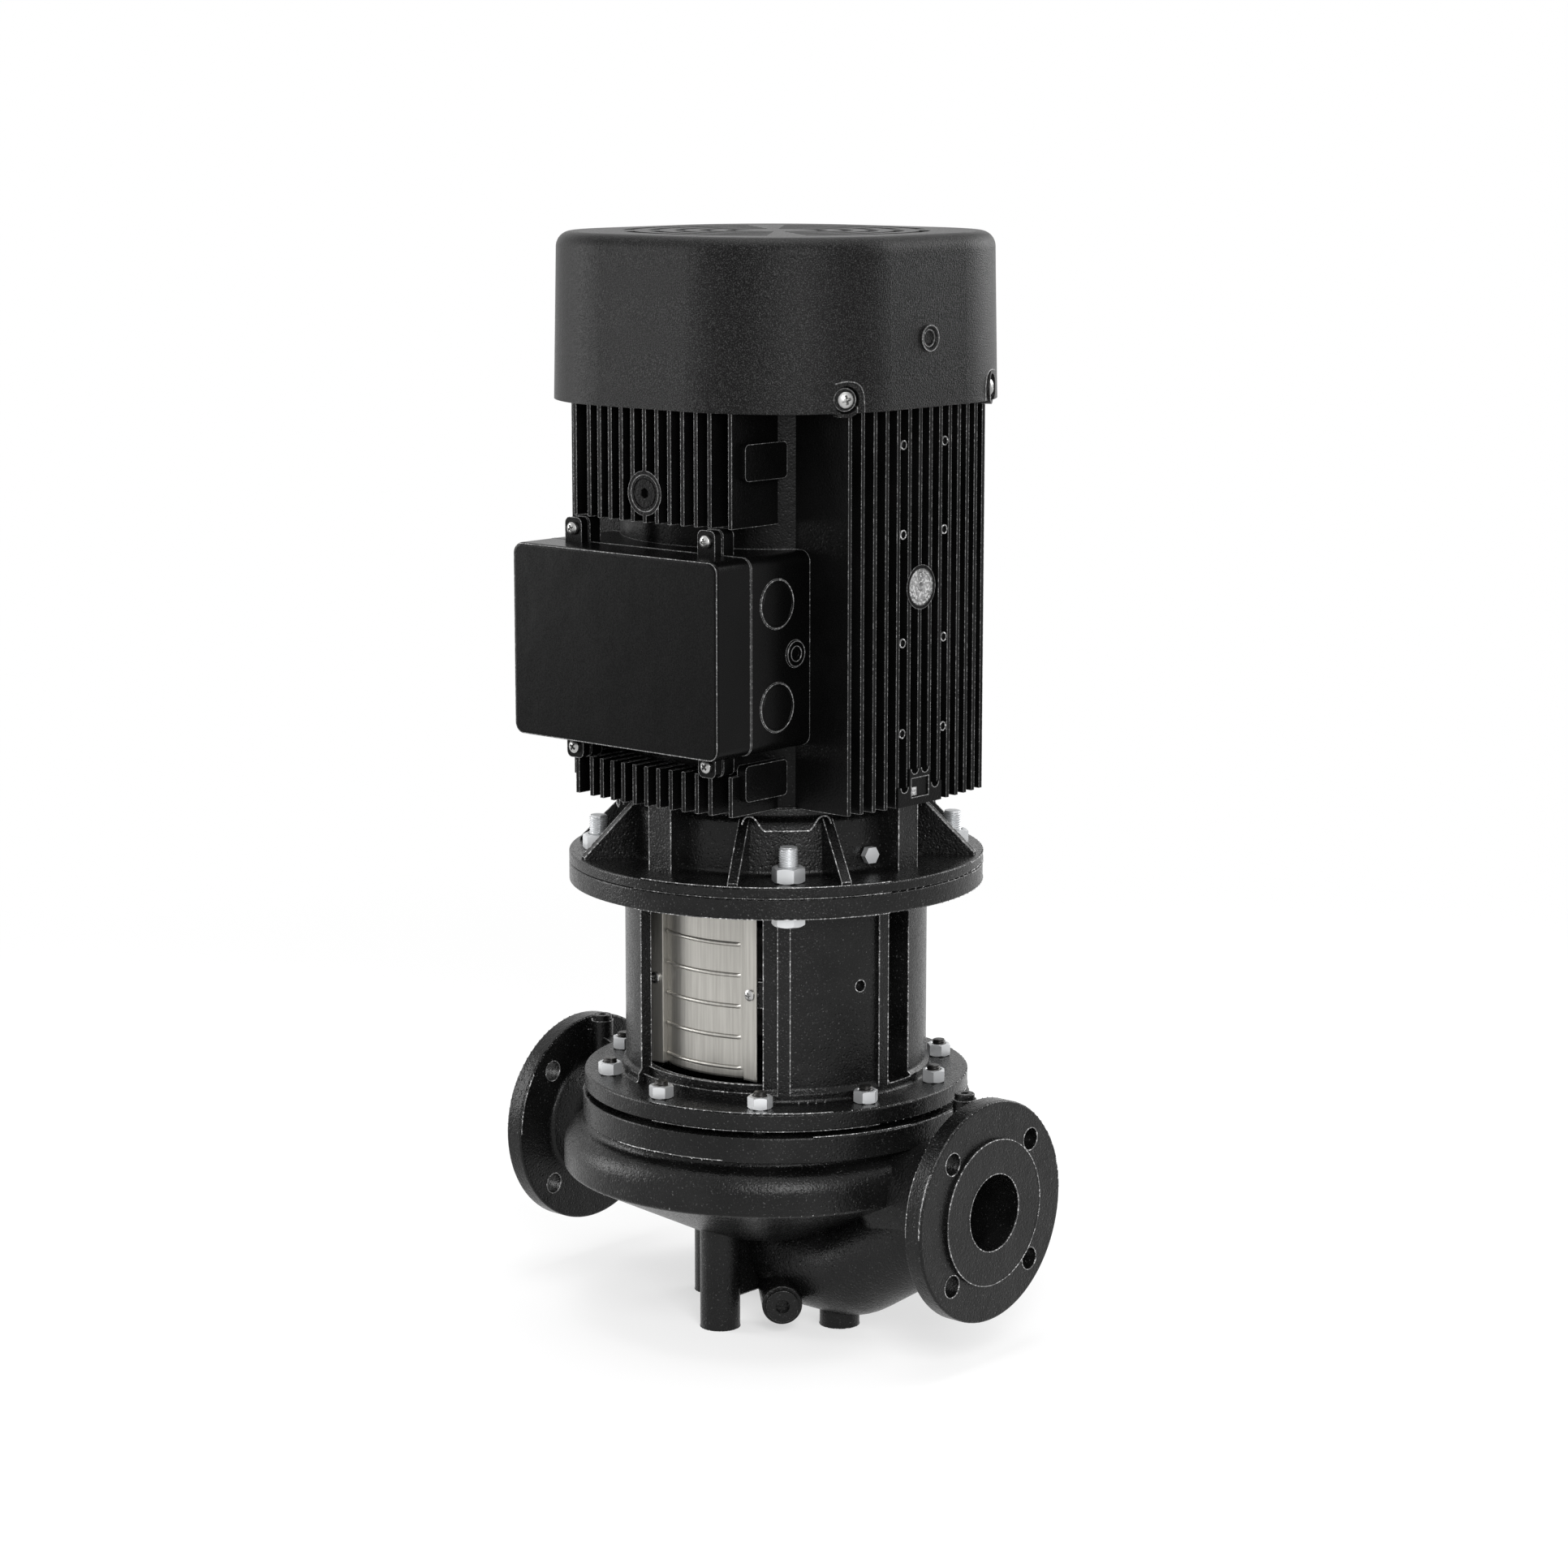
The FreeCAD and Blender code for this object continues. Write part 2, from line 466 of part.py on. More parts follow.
vent = piece("air_vent_screw")
vent_stem = drawing(vent, "XY_Plane", level="cover_floor + cover_thickness")
circle(vent_stem, "vent_reach * sin(vent_turn)", "0 - vent_reach * cos(vent_turn)", "tapping_bore - thread_gap")
padded(vent, vent_stem, "cover_thickness", back=True)
vent_head = drawing(vent, "XY_Plane", level="cover_floor + cover_thickness")
hexagon(vent_head, "vent_reach * sin(vent_turn)", "0 - vent_reach * cos(vent_turn)", "vent_width")
padded(vent, vent_head, "vent_height")

# Mechanical seal: a fixed seat, and a ring on rubber bellows that turns with the shaft
SEAL_FACE = "seal_top - seal_seat_height"
seat = piece("seal_seat")
turned(seat, [("shaft_hole + cover_gap", SEAL_FACE), ("seal_bore - fit_gap", SEAL_FACE),
              ("seal_bore - fit_gap", "seal_top"), ("shaft_hole + cover_gap", "seal_top")])
ring = piece("seal_ring")
turned(ring, [("pump_shaft_radius + fit_gap", SEAL_FACE + " - seal_face_gap - seal_ring_height"),
              ("seal_ring_radius", SEAL_FACE + " - seal_face_gap - seal_ring_height"),
              ("seal_ring_radius", SEAL_FACE + " - seal_face_gap"),
              ("pump_shaft_radius + fit_gap", SEAL_FACE + " - seal_face_gap")])
bellows = piece("seal_bellows")
BELLOWS_END = SEAL_FACE + " - seal_face_gap - seal_ring_height"
folds = [("pump_shaft_radius + fit_gap", "hub_top"), ("bellows_radius", "hub_top")]
fold_count = int(size("bellows_folds"))
for fold in range(fold_count):
    share = "hub_top + (%s - hub_top) * %d / %d" % (BELLOWS_END, 2 * fold + 1, 2 * fold_count)
    folds.append(("bellows_inner", share))
    if fold < fold_count - 1:
        share = "hub_top + (%s - hub_top) * %d / %d" % (BELLOWS_END, 2 * fold + 2, 2 * fold_count)
        folds.append(("bellows_radius", share))
folds += [("bellows_radius", BELLOWS_END), ("pump_shaft_radius + fit_gap", BELLOWS_END)]
turned(bellows, folds)

# Motor stool: a cast lantern with two windows and a deep channel on each side
STOOL_SEAT = "stool_level + stool_flange_thickness"
STOOL_NECK = "stool_top - top_flange_thickness"
WALL_INSIDE = "wall_radius - wall_thickness"
stool = piece("motor_stool")
turned(stool, [("stool_bore", "stool_level"), ("stool_flange_radius", "stool_level", 1.5),
               ("stool_flange_radius", STOOL_SEAT, 2), ("wall_radius + strip_proud", STOOL_SEAT, 3),
               ("wall_radius + strip_proud", STOOL_SEAT + " + sill_step", 2),
               ("wall_radius", STOOL_SEAT + " + sill_height", 3), ("wall_radius", STOOL_NECK, 5),
               ("motor_flange_radius", STOOL_NECK, 1.5), ("motor_flange_radius", "stool_top", 1.5),
               ("motor_spigot / 2 + spigot_gap", "stool_top"),
               ("motor_spigot / 2 + spigot_gap", "stool_top - spigot_depth"),
               ("top_flange_bore", "stool_top - spigot_depth"), ("top_flange_bore", STOOL_NECK),
               (WALL_INSIDE, STOOL_NECK), (WALL_INSIDE, STOOL_SEAT + " + sill_height + 2"),
               ("stool_bore", STOOL_SEAT + " + sill_height")])
channel = turned(stool, [("slot_radius - slot_wall", STOOL_SEAT), (WALL_INSIDE + " + 3", STOOL_SEAT),
                         (WALL_INSIDE + " + 3", STOOL_NECK), ("slot_radius - slot_wall", STOOL_NECK)],
                 angle="slot_angle + 2 * atan(slot_wall / slot_radius) / 1 deg", turn="slot_turn")
strips = [turned(stool, [(WALL_INSIDE + " + 3", STOOL_SEAT), ("wall_radius + strip_proud", STOOL_SEAT),
                         ("wall_radius + strip_proud", STOOL_NECK), (WALL_INSIDE + " + 3", STOOL_NECK)],
                 angle="strip_angle", turn=turn) for turn in ("first_strip_turn", "second_strip_turn")]
slot = turned(stool, [("slot_radius", STOOL_SEAT + " + sill_step"),
                      ("wall_radius + 12", STOOL_SEAT + " + sill_step"), ("wall_radius + 12", STOOL_NECK),
                      ("wall_radius", STOOL_NECK), ("slot_radius", STOOL_NECK + " - slot_ramp")],
              cut=True, angle="slot_angle", turn="slot_turn")
window = turned(stool, [("slot_radius - slot_wall", "window_level"), (WALL_INSIDE + " + 2", "window_level"),
                        (WALL_INSIDE + " + 2", STOOL_SEAT + " + sill_step"),
                        ("wall_radius - 2", STOOL_SEAT + " + sill_step"), ("wall_radius - 2", STOOL_SEAT),
                        ("wall_radius + 12", STOOL_SEAT), ("wall_radius + 12", STOOL_NECK),
                        ("slot_radius - slot_wall", STOOL_NECK)],
                cut=True, angle="window_angle", turn="window_turn")
lugs = []
for turn, web_turn in (("lug_turn_right", "lug_turn_right + (lug_angle - lug_web) / 2"),
                       ("lug_turn_left", "lug_turn_left - (lug_angle - lug_web) / 2")):
    for reach, angle, middle in ((WALL_INSIDE + " + 3", "lug_web", web_turn),
                                 ("guard_radius - guard_gap", "lug_angle", turn)):
        lugs.append(turned(stool, [("guard_radius - lug_depth", "guard_screw_level - lug_height / 2"),
                                   (reach, "guard_screw_level - lug_height / 2"),
                                   (reach, "guard_screw_level + lug_height / 2"),
                                   ("guard_radius - lug_depth", "guard_screw_level + lug_height / 2")],
                           angle=angle, turn=middle))
for turn in ("guard_screw_turn", "guard_screw_left"):
    lugs.append(turned(stool, [("guard_radius + guard_thickness - guard_screw_depth - 0.5", 0),
                               ("guard_radius + guard_thickness - guard_screw_depth - 0.5", "guard_screw_size / 2"),
                               ("guard_radius + 2", "guard_screw_size / 2"), ("guard_radius + 2", 0)],
                       cut=True, turn=turn, lift="guard_screw_level", axis="H_Axis"))
around(stool, [channel] + strips + [slot, window] + lugs, 2)
stud_way = drawing(stool, "XY_Plane", level=STOOL_SEAT)
circle(stud_way, 0, "0 - stud_circle / 2", "stud_size / 2 + stud_clearance / 2")
around(stool, [pocketed(stool, stud_way, "stool_flange_thickness")], "stud_count")
bolt_way = drawing(stool, "XY_Plane", level="stool_top")
circle(bolt_way, "bolt_circle / sqrt(8)", "0 - bolt_circle / sqrt(8)", "bolt_hole / 2")
around(stool, [pocketed(stool, bolt_way, "top_flange_thickness")], 4)
panel_tap = facing(stool, "tap_turn", "wall_radius + 1", lift="guard_screw_level + tap_lift")
circle(panel_tap, 0, 0, "tap_radius")
around(stool, [pocketed(stool, panel_tap, "tap_depth")], 2)

# Ten studs between the housing rim and the stool, and their nuts
studs = piece("housing_studs", several=True)
stud_sketch = drawing(studs, "XY_Plane", level="rim_level - stud_depth + 1")
circle(stud_sketch, 0, "0 - stud_circle / 2", "stud_size / 2")
around(studs, [padded(studs, stud_sketch, STOOL_SEAT + " + nut_height + stud_rise - rim_level + stud_depth - 10")],
       "stud_count")
nuts = piece("housing_nuts", several=True)
nuts_sketch = drawing(nuts, "XY_Plane", level=STOOL_SEAT)
hexagon(nuts_sketch, 0, "0 - stud_circle / 2", "nut_width")
circle(nuts_sketch, 0, "0 - stud_circle / 2", "stud_size / 2 + thread_gap")
around(nuts, [padded(nuts, nuts_sketch, "nut_height")], "stud_count")


# Half of the pressed guard around the coupling, with its stiffening beads
def coupling_guard(name, half_turn):
    guard = piece(name)
    inner, outer = [], []
    for bead in range(int(size("guard_rib_count"))):
        middle = "guard_first_rib + %d * guard_rib_pitch" % bead
        for offset, proud in (("- guard_rib_width - guard_rib_height", "0"), ("- guard_rib_width", "guard_rib_height"),
                              ("+ guard_rib_width", "guard_rib_height"),
                              ("+ guard_rib_width + guard_rib_height", "0")):
            inner.append(("guard_radius + " + proud, middle + " " + offset))
            outer.append(("guard_radius + guard_thickness + " + proud, middle + " " + offset))
    corners = [("guard_radius", "guard_level")] + inner + [("guard_radius", "guard_top"),
                                                           ("guard_radius + guard_thickness", "guard_top")]
    corners += outer[::-1] + [("guard_radius + guard_thickness", "guard_level")]
    turned(guard, corners, angle="guard_angle", turn="guard_turn + %d" % half_turn)
    for turn in ("guard_screw_turn", "guard_screw_left"):
        turned(guard, [("guard_radius - 2", 0), ("guard_radius - 2", "guard_screw_size / 2 + guard_gap"),
                       ("guard_radius + 4", "guard_screw_size / 2 + guard_gap"), ("guard_radius + 4", 0)],
               cut=True, turn="%s + %d" % (turn, half_turn), lift="guard_screw_level", axis="H_Axis")


coupling_guard("front_coupling_guard", 0)
coupling_guard("rear_coupling_guard", 180)
guard_screws = piece("guard_screws", several=True)
SHEET = "guard_radius + guard_thickness"
around(guard_screws, [turned(
    guard_screws, [(SHEET + " - guard_screw_depth", 0), (SHEET + " - guard_screw_depth", "guard_screw_size / 2 - thread_gap"),
                   (SHEET, "guard_screw_size / 2 - thread_gap"), (SHEET, "guard_screw_head / 2"),
                   (SHEET + " + guard_head_height", "guard_screw_head / 2", 1), (SHEET + " + guard_head_height", 0)],
    turn=turn, lift="guard_screw_level", axis="H_Axis") for turn in ("guard_screw_turn", "guard_screw_left")], 2)


# Shell coupling: two halves clamp both shafts, a cross pin carries the pump shaft
def coupling_half(name, side):
    half = piece(name)
    turned(half, [("pump_shaft_radius + fit_gap", "coupling_level"), ("coupling_radius", "coupling_level", 2),
                  ("coupling_radius", "coupling_top", 2), ("shaft_end_radius + fit_gap", "coupling_top"),
                  ("shaft_end_radius + fit_gap", "(shaft_end_level + pump_shaft_top) / 2"),
                  ("pump_shaft_radius + fit_gap", "(shaft_end_level + pump_shaft_top) / 2")],
           angle="180", turn="%d" % (90 - 90 * side))
    split = drawing(half, "XZ_Plane")
    rectangle(split, "0 - coupling_radius - 1", "coupling_radius + 1", "coupling_level - 1", "coupling_top + 1")
    pocketed(half, split, "coupling_split", both=True)
    groove = drawing(half, "YZ_Plane")
    circle(groove, 0, "pin_level", "pin_size / 2 + fit_gap")
    pocketed(half, groove, "pin_length + 1", both=True)
    ways = [("clamp_size / 2 + fit_gap", "0 - coupling_radius")]
    if side > 0:
        ways.append(("clamp_head / 2 + 0.5", "clamp_seat"))
    for radius, level in ways:
        sketch = drawing(half, "XZ_Plane", level="coupling_radius" if side > 0 else 0)
        for across in (-1, 1):
            for height in ("coupling_level + clamp_inset", "coupling_top - clamp_inset"):
                circle(sketch, "%d * clamp_offset" % across, height, radius)
        deep = "coupling_radius" if side > 0 else "clamp_grip"
        pocketed(half, sketch, deep if level != "clamp_seat" else "coupling_radius - clamp_seat")


coupling_half("front_coupling_half", 1)
coupling_half("rear_coupling_half", -1)
clamps = piece("coupling_screws", several=True)
for radius, level, length, back in (("clamp_head / 2", "clamp_seat", "clamp_head_height", False),
                                    ("clamp_size / 2", "clamp_seat", "clamp_seat + clamp_grip - 2", True)):
    sketch = drawing(clamps, "XZ_Plane", level=level)
    for across in (-1, 1):
        for height in ("coupling_level + clamp_inset", "coupling_top - clamp_inset"):
            circle(sketch, "%d * clamp_offset" % across, height, radius)
    padded(clamps, sketch, length, back=back)
pin = piece("coupling_pin")
pin_sketch = drawing(pin, "YZ_Plane")
circle(pin_sketch, 0, "pin_level", "pin_size / 2")
padded(pin, pin_sketch, "pin_length", both=True)

# Drive end shield: the motor flange with its bearing seat, gusset ribs and four upright pads
FLANGE_TOP = "stool_top + motor_flange_thickness"
BEARING_FOOT = "bearing_level - bearing_width / 2"
shield = piece("drive_end_shield")
turned(shield, [("seat_radius + 1", FLANGE_TOP + " - 3"), ("motor_spigot / 2 - wall", FLANGE_TOP + " - 3"),
                ("motor_spigot / 2 - wall", "stool_top - spigot_depth"),
                ("motor_spigot / 2", "stool_top - spigot_depth", 1), ("motor_spigot / 2", "stool_top"),
                ("motor_flange_radius", "stool_top", 1.5), ("motor_flange_radius", FLANGE_TOP, 1.5),
                ("shield_radius + 3", FLANGE_TOP, 4), ("shield_radius", "frame_level - wall", 6),
                ("shield_rim", "frame_level - frame_spigot", 2), ("shield_rim", "frame_level", 1),
                ("barrel_bore / 2 - fit_gap", "frame_level"),
                ("barrel_bore / 2 - fit_gap", "frame_level + frame_spigot"),
                ("shield_radius - wall", "frame_level + frame_spigot"),
                ("shield_radius - wall", FLANGE_TOP + " + 9", 10), ("bearing_radius + wall", FLANGE_TOP + " + 9", 8),
                ("bearing_radius + 8", "bearing_level + bearing_width / 2 + 3", 2),
                ("bearing_radius", "bearing_level + bearing_width / 2 + 3"), ("bearing_radius", BEARING_FOOT),
                ("seat_radius + 1", BEARING_FOOT)])
ribs = []
for side in ("-", "+"):
    rib_sketch = drawing(shield, "XZ_Plane", turn="45 %s rib_spread" % side)
    outline(rib_sketch, [("shield_radius - 4", FLANGE_TOP + " - 2"), ("rib_reach", FLANGE_TOP + " - 2"),
                         ("rib_reach", FLANGE_TOP + " + 2"), ("shield_radius + 4", "rib_top", 3),
                         ("shield_radius - 4", "rib_top")])
    ribs.append(padded(shield, rib_sketch, "shield_rib", both=True))
pad_sketch = drawing(shield, "XZ_Plane")
rectangle(pad_sketch, "shield_radius - 4", "pad_radius", FLANGE_TOP + " - 2", "frame_level")
pad = padded(shield, pad_sketch, "pad_width", both=True)
bolt_hole = drawing(shield, "XY_Plane", level=FLANGE_TOP)
circle(bolt_hole, "bolt_circle / sqrt(8)", "0 - bolt_circle / sqrt(8)", "bolt_hole / 2")
around(shield, ribs + [pad, pocketed(shield, bolt_hole, "motor_flange_thickness")], 4)
earth_hole = facing(shield, "earth_turn", "shield_radius + 4", lift="earth_level")
circle(earth_hole, 0, 0, "earth_screw / 2 + thread_gap")
pocketed(shield, earth_hole, "wall + 2")

# Flange bolts from below, with their nuts on the motor flange
bolts = piece("flange_bolts", several=True)
shank_sketch = drawing(bolts, "XY_Plane", level=STOOL_NECK)
circle(shank_sketch, "bolt_circle / sqrt(8)", "0 - bolt_circle / sqrt(8)", "bolt_size / 2")
shank = padded(bolts, shank_sketch, "bolt_end - stool_top + top_flange_thickness")
head_sketch = drawing(bolts, "XY_Plane", level=STOOL_NECK)
hexagon(head_sketch, "bolt_circle / sqrt(8)", "0 - bolt_circle / sqrt(8)", "bolt_width")
around(bolts, [shank, padded(bolts, head_sketch, "bolt_head_height", back=True)], 4)
bolt_nuts = piece("flange_nuts", several=True)
bolt_nut_sketch = drawing(bolt_nuts, "XY_Plane", level=FLANGE_TOP)
hexagon(bolt_nut_sketch, "bolt_circle / sqrt(8)", "0 - bolt_circle / sqrt(8)", "bolt_width")
circle(bolt_nut_sketch, "bolt_circle / sqrt(8)", "0 - bolt_circle / sqrt(8)", "bolt_size / 2 + thread_gap")
around(bolt_nuts, [padded(bolt_nuts, bolt_nut_sketch, "bolt_nut_height")], 4)

earth = piece("earth_screw")
earth_shank = facing(earth, "earth_turn", "shield_radius + 4", lift="earth_level")
circle(earth_shank, 0, 0, "earth_screw / 2")
padded(earth, earth_shank, "wall", back=True)
earth_head = facing(earth, "earth_turn", "shield_radius + 4", lift="earth_level")
hexagon(earth_head, 0, 0, "earth_hex")
padded(earth, earth_head, "earth_screw * 0.7")

# Motor frame: a barrel with upright cooling fins on four sides, wider apart at the open corners
FRAME_HEIGHT = "frame_top - frame_level"
BARREL = "barrel_bore / 2 + barrel_wall"
frame = piece("motor_frame")
turned(frame, [("barrel_bore / 2 - 3", "frame_level"), (BARREL, "frame_level"), (BARREL, "frame_top"),
               ("barrel_bore / 2 - 3", "frame_top")])


# One side of fins as a comb; the outermost fins of neighbouring sides leave the corner open
def comb(places, role_swap):
    corners = []
    for index, place in enumerate(places):
        last = index == len(places) - 1
        tip = "fin_reach - fin_sag * ((%s) / outer_fin)^2" % place
        left, right = "%s - fin_thickness / 2" % place, "%s + fin_thickness / 2" % place
        corners += [(left, "fin_root" if index == 0 else "fin_root + 2"), (left, tip), (right, tip),
                    (right, "fin_root" if last else "fin_root + 2")]
    sketch = drawing(frame, "XY_Plane", level="frame_level")
    if role_swap:
        outline(sketch, [(out, along) for along, out in corners])
    else:
        outline(sketch, [(along, "0 - (%s)" % out) for along, out in corners])
    return padded(frame, sketch, FRAME_HEIGHT)


front_places = ["0 - outer_fin"] + ["%d * front_fin_pitch" % step for step in range(-5, 6)] + ["outer_fin"]
side_places = ["(%d / 2) * side_fin_pitch" % step for step in range(-13, 14, 2)]
around(frame, [comb(front_places, False)], 2)
around(frame, [comb(side_places, True)], 2)
turned(frame, [(0, "frame_level - 1"), ("barrel_bore / 2", "frame_level - 1"),
               ("barrel_bore / 2", "frame_top + 1"), (0, "frame_top + 1")], cut=True)
turned(frame, [(BARREL, "box_level - fin_clearance"), ("fin_reach + 20", "box_level - fin_clearance"),
               ("fin_reach + 20", "box_level + box_height + fin_clearance"),
               (BARREL, "box_level + box_height + fin_clearance")],
       cut=True, angle="2 * acos(box_back / (%s)) / 1 deg" % BARREL, turn="0")
lug_sketch = drawing(frame, "YZ_Plane", level="outer_fin")
for top in ("foot_lug_top", "foot_lug_low"):
    rectangle(lug_sketch, "0 - fin_root - foot_lug_length", "0 - fin_root - 2", "%s - foot_lug_height" % top, top, 4)
foot_lug = padded(frame, lug_sketch, "foot_lug_depth")
plane_mirror = mirrored(frame, [foot_lug], "YZ_Plane")
back_lug = drawing(frame, "YZ_Plane", level="outer_fin")
for top in ("foot_lug_top", "foot_lug_low"):
    rectangle(back_lug, "fin_root + 2", "fin_root + foot_lug_length", "%s - foot_lug_height" % top, top, 4)
mirrored(frame, [padded(frame, back_lug, "foot_lug_depth")], "YZ_Plane")
ears = [turned(frame, [("fin_reach + 1.5", 0), ("fin_reach + 1.5", "ear_radius + 4.5"),
                       ("fin_reach + 30", "ear_radius + 4.5"), ("fin_reach + 30", 0)],
               cut=True, turn=turn, lift="cover_screw_level", axis="H_Axis")
        for turn in ("cover_screw_turn", "180 - cover_screw_turn")]
ears += [turned(frame, [(BARREL + " + 2", 0), (BARREL + " + 2", "ear_radius"),
                       ("fin_reach + 1", "ear_radius", 1), ("fin_reach + 1", 0)],
               turn=turn, lift="cover_screw_level", axis="H_Axis")
        for turn in ("cover_screw_turn", "180 - cover_screw_turn")]
ears += [turned(frame, [("fin_reach - ear_length", 0), ("fin_reach - ear_length", "cover_screw_size / 2 + thread_gap"),
                        ("fin_reach + 2", "cover_screw_size / 2 + thread_gap"), ("fin_reach + 2", 0)],
                cut=True, turn=turn, lift="cover_screw_level", axis="H_Axis")
         for turn in ("cover_screw_turn", "180 - cover_screw_turn")]
around(frame, ears, 2)
for turn, level, offset in ((0, "front_plug_level", 0), (90, "side_plug_level", "side_plug_offset")):
    boss_sketch = facing(frame, turn, BARREL + " - 3", lift=level)
    circle(boss_sketch, "0 - (%s)" % offset, 0, "plug_boss_radius")
    padded(frame, boss_sketch, "fin_reach - (%s) + 3" % BARREL)
    hole_sketch = facing(frame, turn, "fin_reach", lift=level)
    circle(hole_sketch, "0 - (%s)" % offset, 0, "frame_plug_radius")
    pocketed(frame, hole_sketch, "frame_plug_depth")
plugs = piece("frame_plugs", several=True)
for turn, level, offset in ((0, "front_plug_level", 0), (90, "side_plug_level", "side_plug_offset")):
    plug_sketch = facing(plugs, turn, "fin_reach", lift=level)
    circle(plug_sketch, "0 - (%s)" % offset, 0, "frame_plug_radius - thread_gap")
    padded(plugs, plug_sketch, "frame_plug_depth", back=True)

# Stator, rotor and shaft
core = piece("stator_core")
turned(core, [("core_inner", "core_level"), ("barrel_bore / 2 - fit_gap", "core_level"),
              ("barrel_bore / 2 - fit_gap", "core_top"), ("core_inner", "core_top")])
windings = piece("stator_windings", several=True)
for low, high in (("core_level - winding_height", "core_level"), ("core_top", "core_top + winding_height")):
    turned(windings, [("winding_inner", low, 5), ("winding_outer", low, 8), ("winding_outer", high, 5),
                      ("winding_inner", high, 5)])
rotor = piece("rotor_core")
turned(rotor, [("shaft_radius + fit_gap", "core_level"), ("end_ring_inner", "core_level"),
               ("end_ring_inner", "core_level - end_ring_height"),
               ("core_inner - air_gap", "core_level - end_ring_height"),
               ("core_inner - air_gap", "core_top + end_ring_height"),
               ("end_ring_inner", "core_top + end_ring_height"), ("end_ring_inner", "core_top"),
               ("shaft_radius + fit_gap", "core_top")])
motor_shaft = piece("motor_shaft")
turned(motor_shaft, [(0, "shaft_end_level"), ("shaft_end_radius", "shaft_end_level", 2),
                     ("shaft_end_radius", "stool_top"), ("seat_radius", "stool_top", 0.5),
                     ("seat_radius", "bearing_level + bearing_width / 2"),
                     ("shaft_radius", "bearing_level + bearing_width / 2", 1),
                     ("shaft_radius", "fan_bearing_level - bearing_width / 2", 1),
                     ("seat_radius", "fan_bearing_level - bearing_width / 2"),
                     ("seat_radius", "fan_bearing_level + bearing_width / 2 + 4"),
                     ("fan_seat_radius", "fan_bearing_level + bearing_width / 2 + 4"),
                     ("fan_seat_radius", "shaft_top", 1.5), (0, "shaft_top")])


# Deep groove ball bearing: two rings with a raceway each
def bearing(name, level):
    low, high = level + " - bearing_width / 2", level + " + bearing_width / 2"
    inner_ring = piece(name + "_inner_ring")
    turned(inner_ring, [("seat_radius + fit_gap", low), ("ball_circle / 2 - race_land", low, 0.5),
                        ("ball_circle / 2 - race_land", high, 0.5), ("seat_radius + fit_gap", high)])
    outer_ring = piece(name + "_outer_ring")
    turned(outer_ring, [("ball_circle / 2 + race_land", low), ("bearing_radius - fit_gap", low),
                        ("bearing_radius - fit_gap", high), ("ball_circle / 2 + race_land", high)])
    for race in (inner_ring, outer_ring):
        sketch = drawing(race, "XZ_Plane")
        circle(sketch, "ball_circle / 2", level, "ball_size / 2 + ball_gap")
        groove = race.newObject("PartDesign::Groove", race.Name + "_race")
        groove.Profile = sketch
        groove.ReferenceAxis = (sketch, ["V_Axis"])
        groove.Angle = 360


bearing("drive_end_bearing", "bearing_level")
bearing("fan_end_bearing", "fan_bearing_level")
lip = piece("shaft_seal_ring")
turned(lip, [("seat_radius + fit_gap", FLANGE_TOP + " - 3.3 - lip_height"),
             ("lip_radius - 3", FLANGE_TOP + " - 3.3 - lip_height"),
             ("lip_radius", FLANGE_TOP + " - 3.3"), ("seat_radius + fit_gap", FLANGE_TOP + " - 3.3")])

fan_shield = piece("fan_end_shield")
FAN_BEARING_TOP = "fan_bearing_level + bearing_width / 2"
turned(fan_shield, [("bearing_radius", "fan_bearing_level - bearing_width / 2 - 2"),
                    ("bearing_radius + 8", "fan_bearing_level - bearing_width / 2 - 2", 2),
                    ("bearing_radius + wall", "frame_top - wall * 2", 8),
                    ("barrel_bore / 2 - wall", "frame_top - wall", 6),
                    ("barrel_bore / 2 - wall", "frame_top - frame_spigot"),
                    ("barrel_bore / 2 - fit_gap", "frame_top - frame_spigot"),
                    ("barrel_bore / 2 - fit_gap", "frame_top"), (BARREL, "frame_top"),
                    (BARREL, "frame_top + 7", 2), ("barrel_bore / 2 - wall * 2", "frame_top + 7", 8),
                    ("bearing_radius + wall", FAN_BEARING_TOP + " + 14", 10),
                    ("fan_seat_radius + 1", FAN_BEARING_TOP + " + 14"),
                    ("fan_seat_radius + 1", FAN_BEARING_TOP + " + 5"), ("bearing_radius - 5", FAN_BEARING_TOP + " + 5"),
                    ("bearing_radius - 5", FAN_BEARING_TOP), ("bearing_radius", FAN_BEARING_TOP)])

# Fan with straight radial blades, held by a retaining ring
fan = piece("fan")
turned(fan, [("fan_seat_radius + fit_gap", "fan_hub_foot"), ("fan_hub_radius", "fan_hub_foot", 1),
             ("fan_hub_radius", "fan_level", 2), ("fan_radius", "fan_level", 1),
             ("fan_radius", "fan_level + fan_disc", 1), ("fan_hub_radius", "fan_level + fan_disc", 4),
             ("fan_hub_radius - 3", "fan_hub_top", 1), ("fan_seat_radius + fit_gap", "fan_hub_top")])
blade_sketch = drawing(fan, "XZ_Plane")
outline(blade_sketch, [("fan_blade_inner", "fan_level + fan_disc / 2"), ("fan_radius - 1.5", "fan_level + fan_disc / 2"),
                       ("fan_radius - 1.5", "fan_level + fan_blade_height", 8),
                       ("fan_blade_inner + 18", "fan_level + fan_blade_height", 12)])
around(fan, [padded(fan, blade_sketch, "fan_blade_thickness", both=True)], "fan_blade_count")
clip = piece("fan_retaining_ring")
turned(clip, [("fan_seat_radius + fit_gap", "fan_hub_top"), ("clip_radius", "fan_hub_top"),
              ("clip_radius", "fan_hub_top + clip_thickness"), ("fan_seat_radius + fit_gap", "fan_hub_top + clip_thickness")])

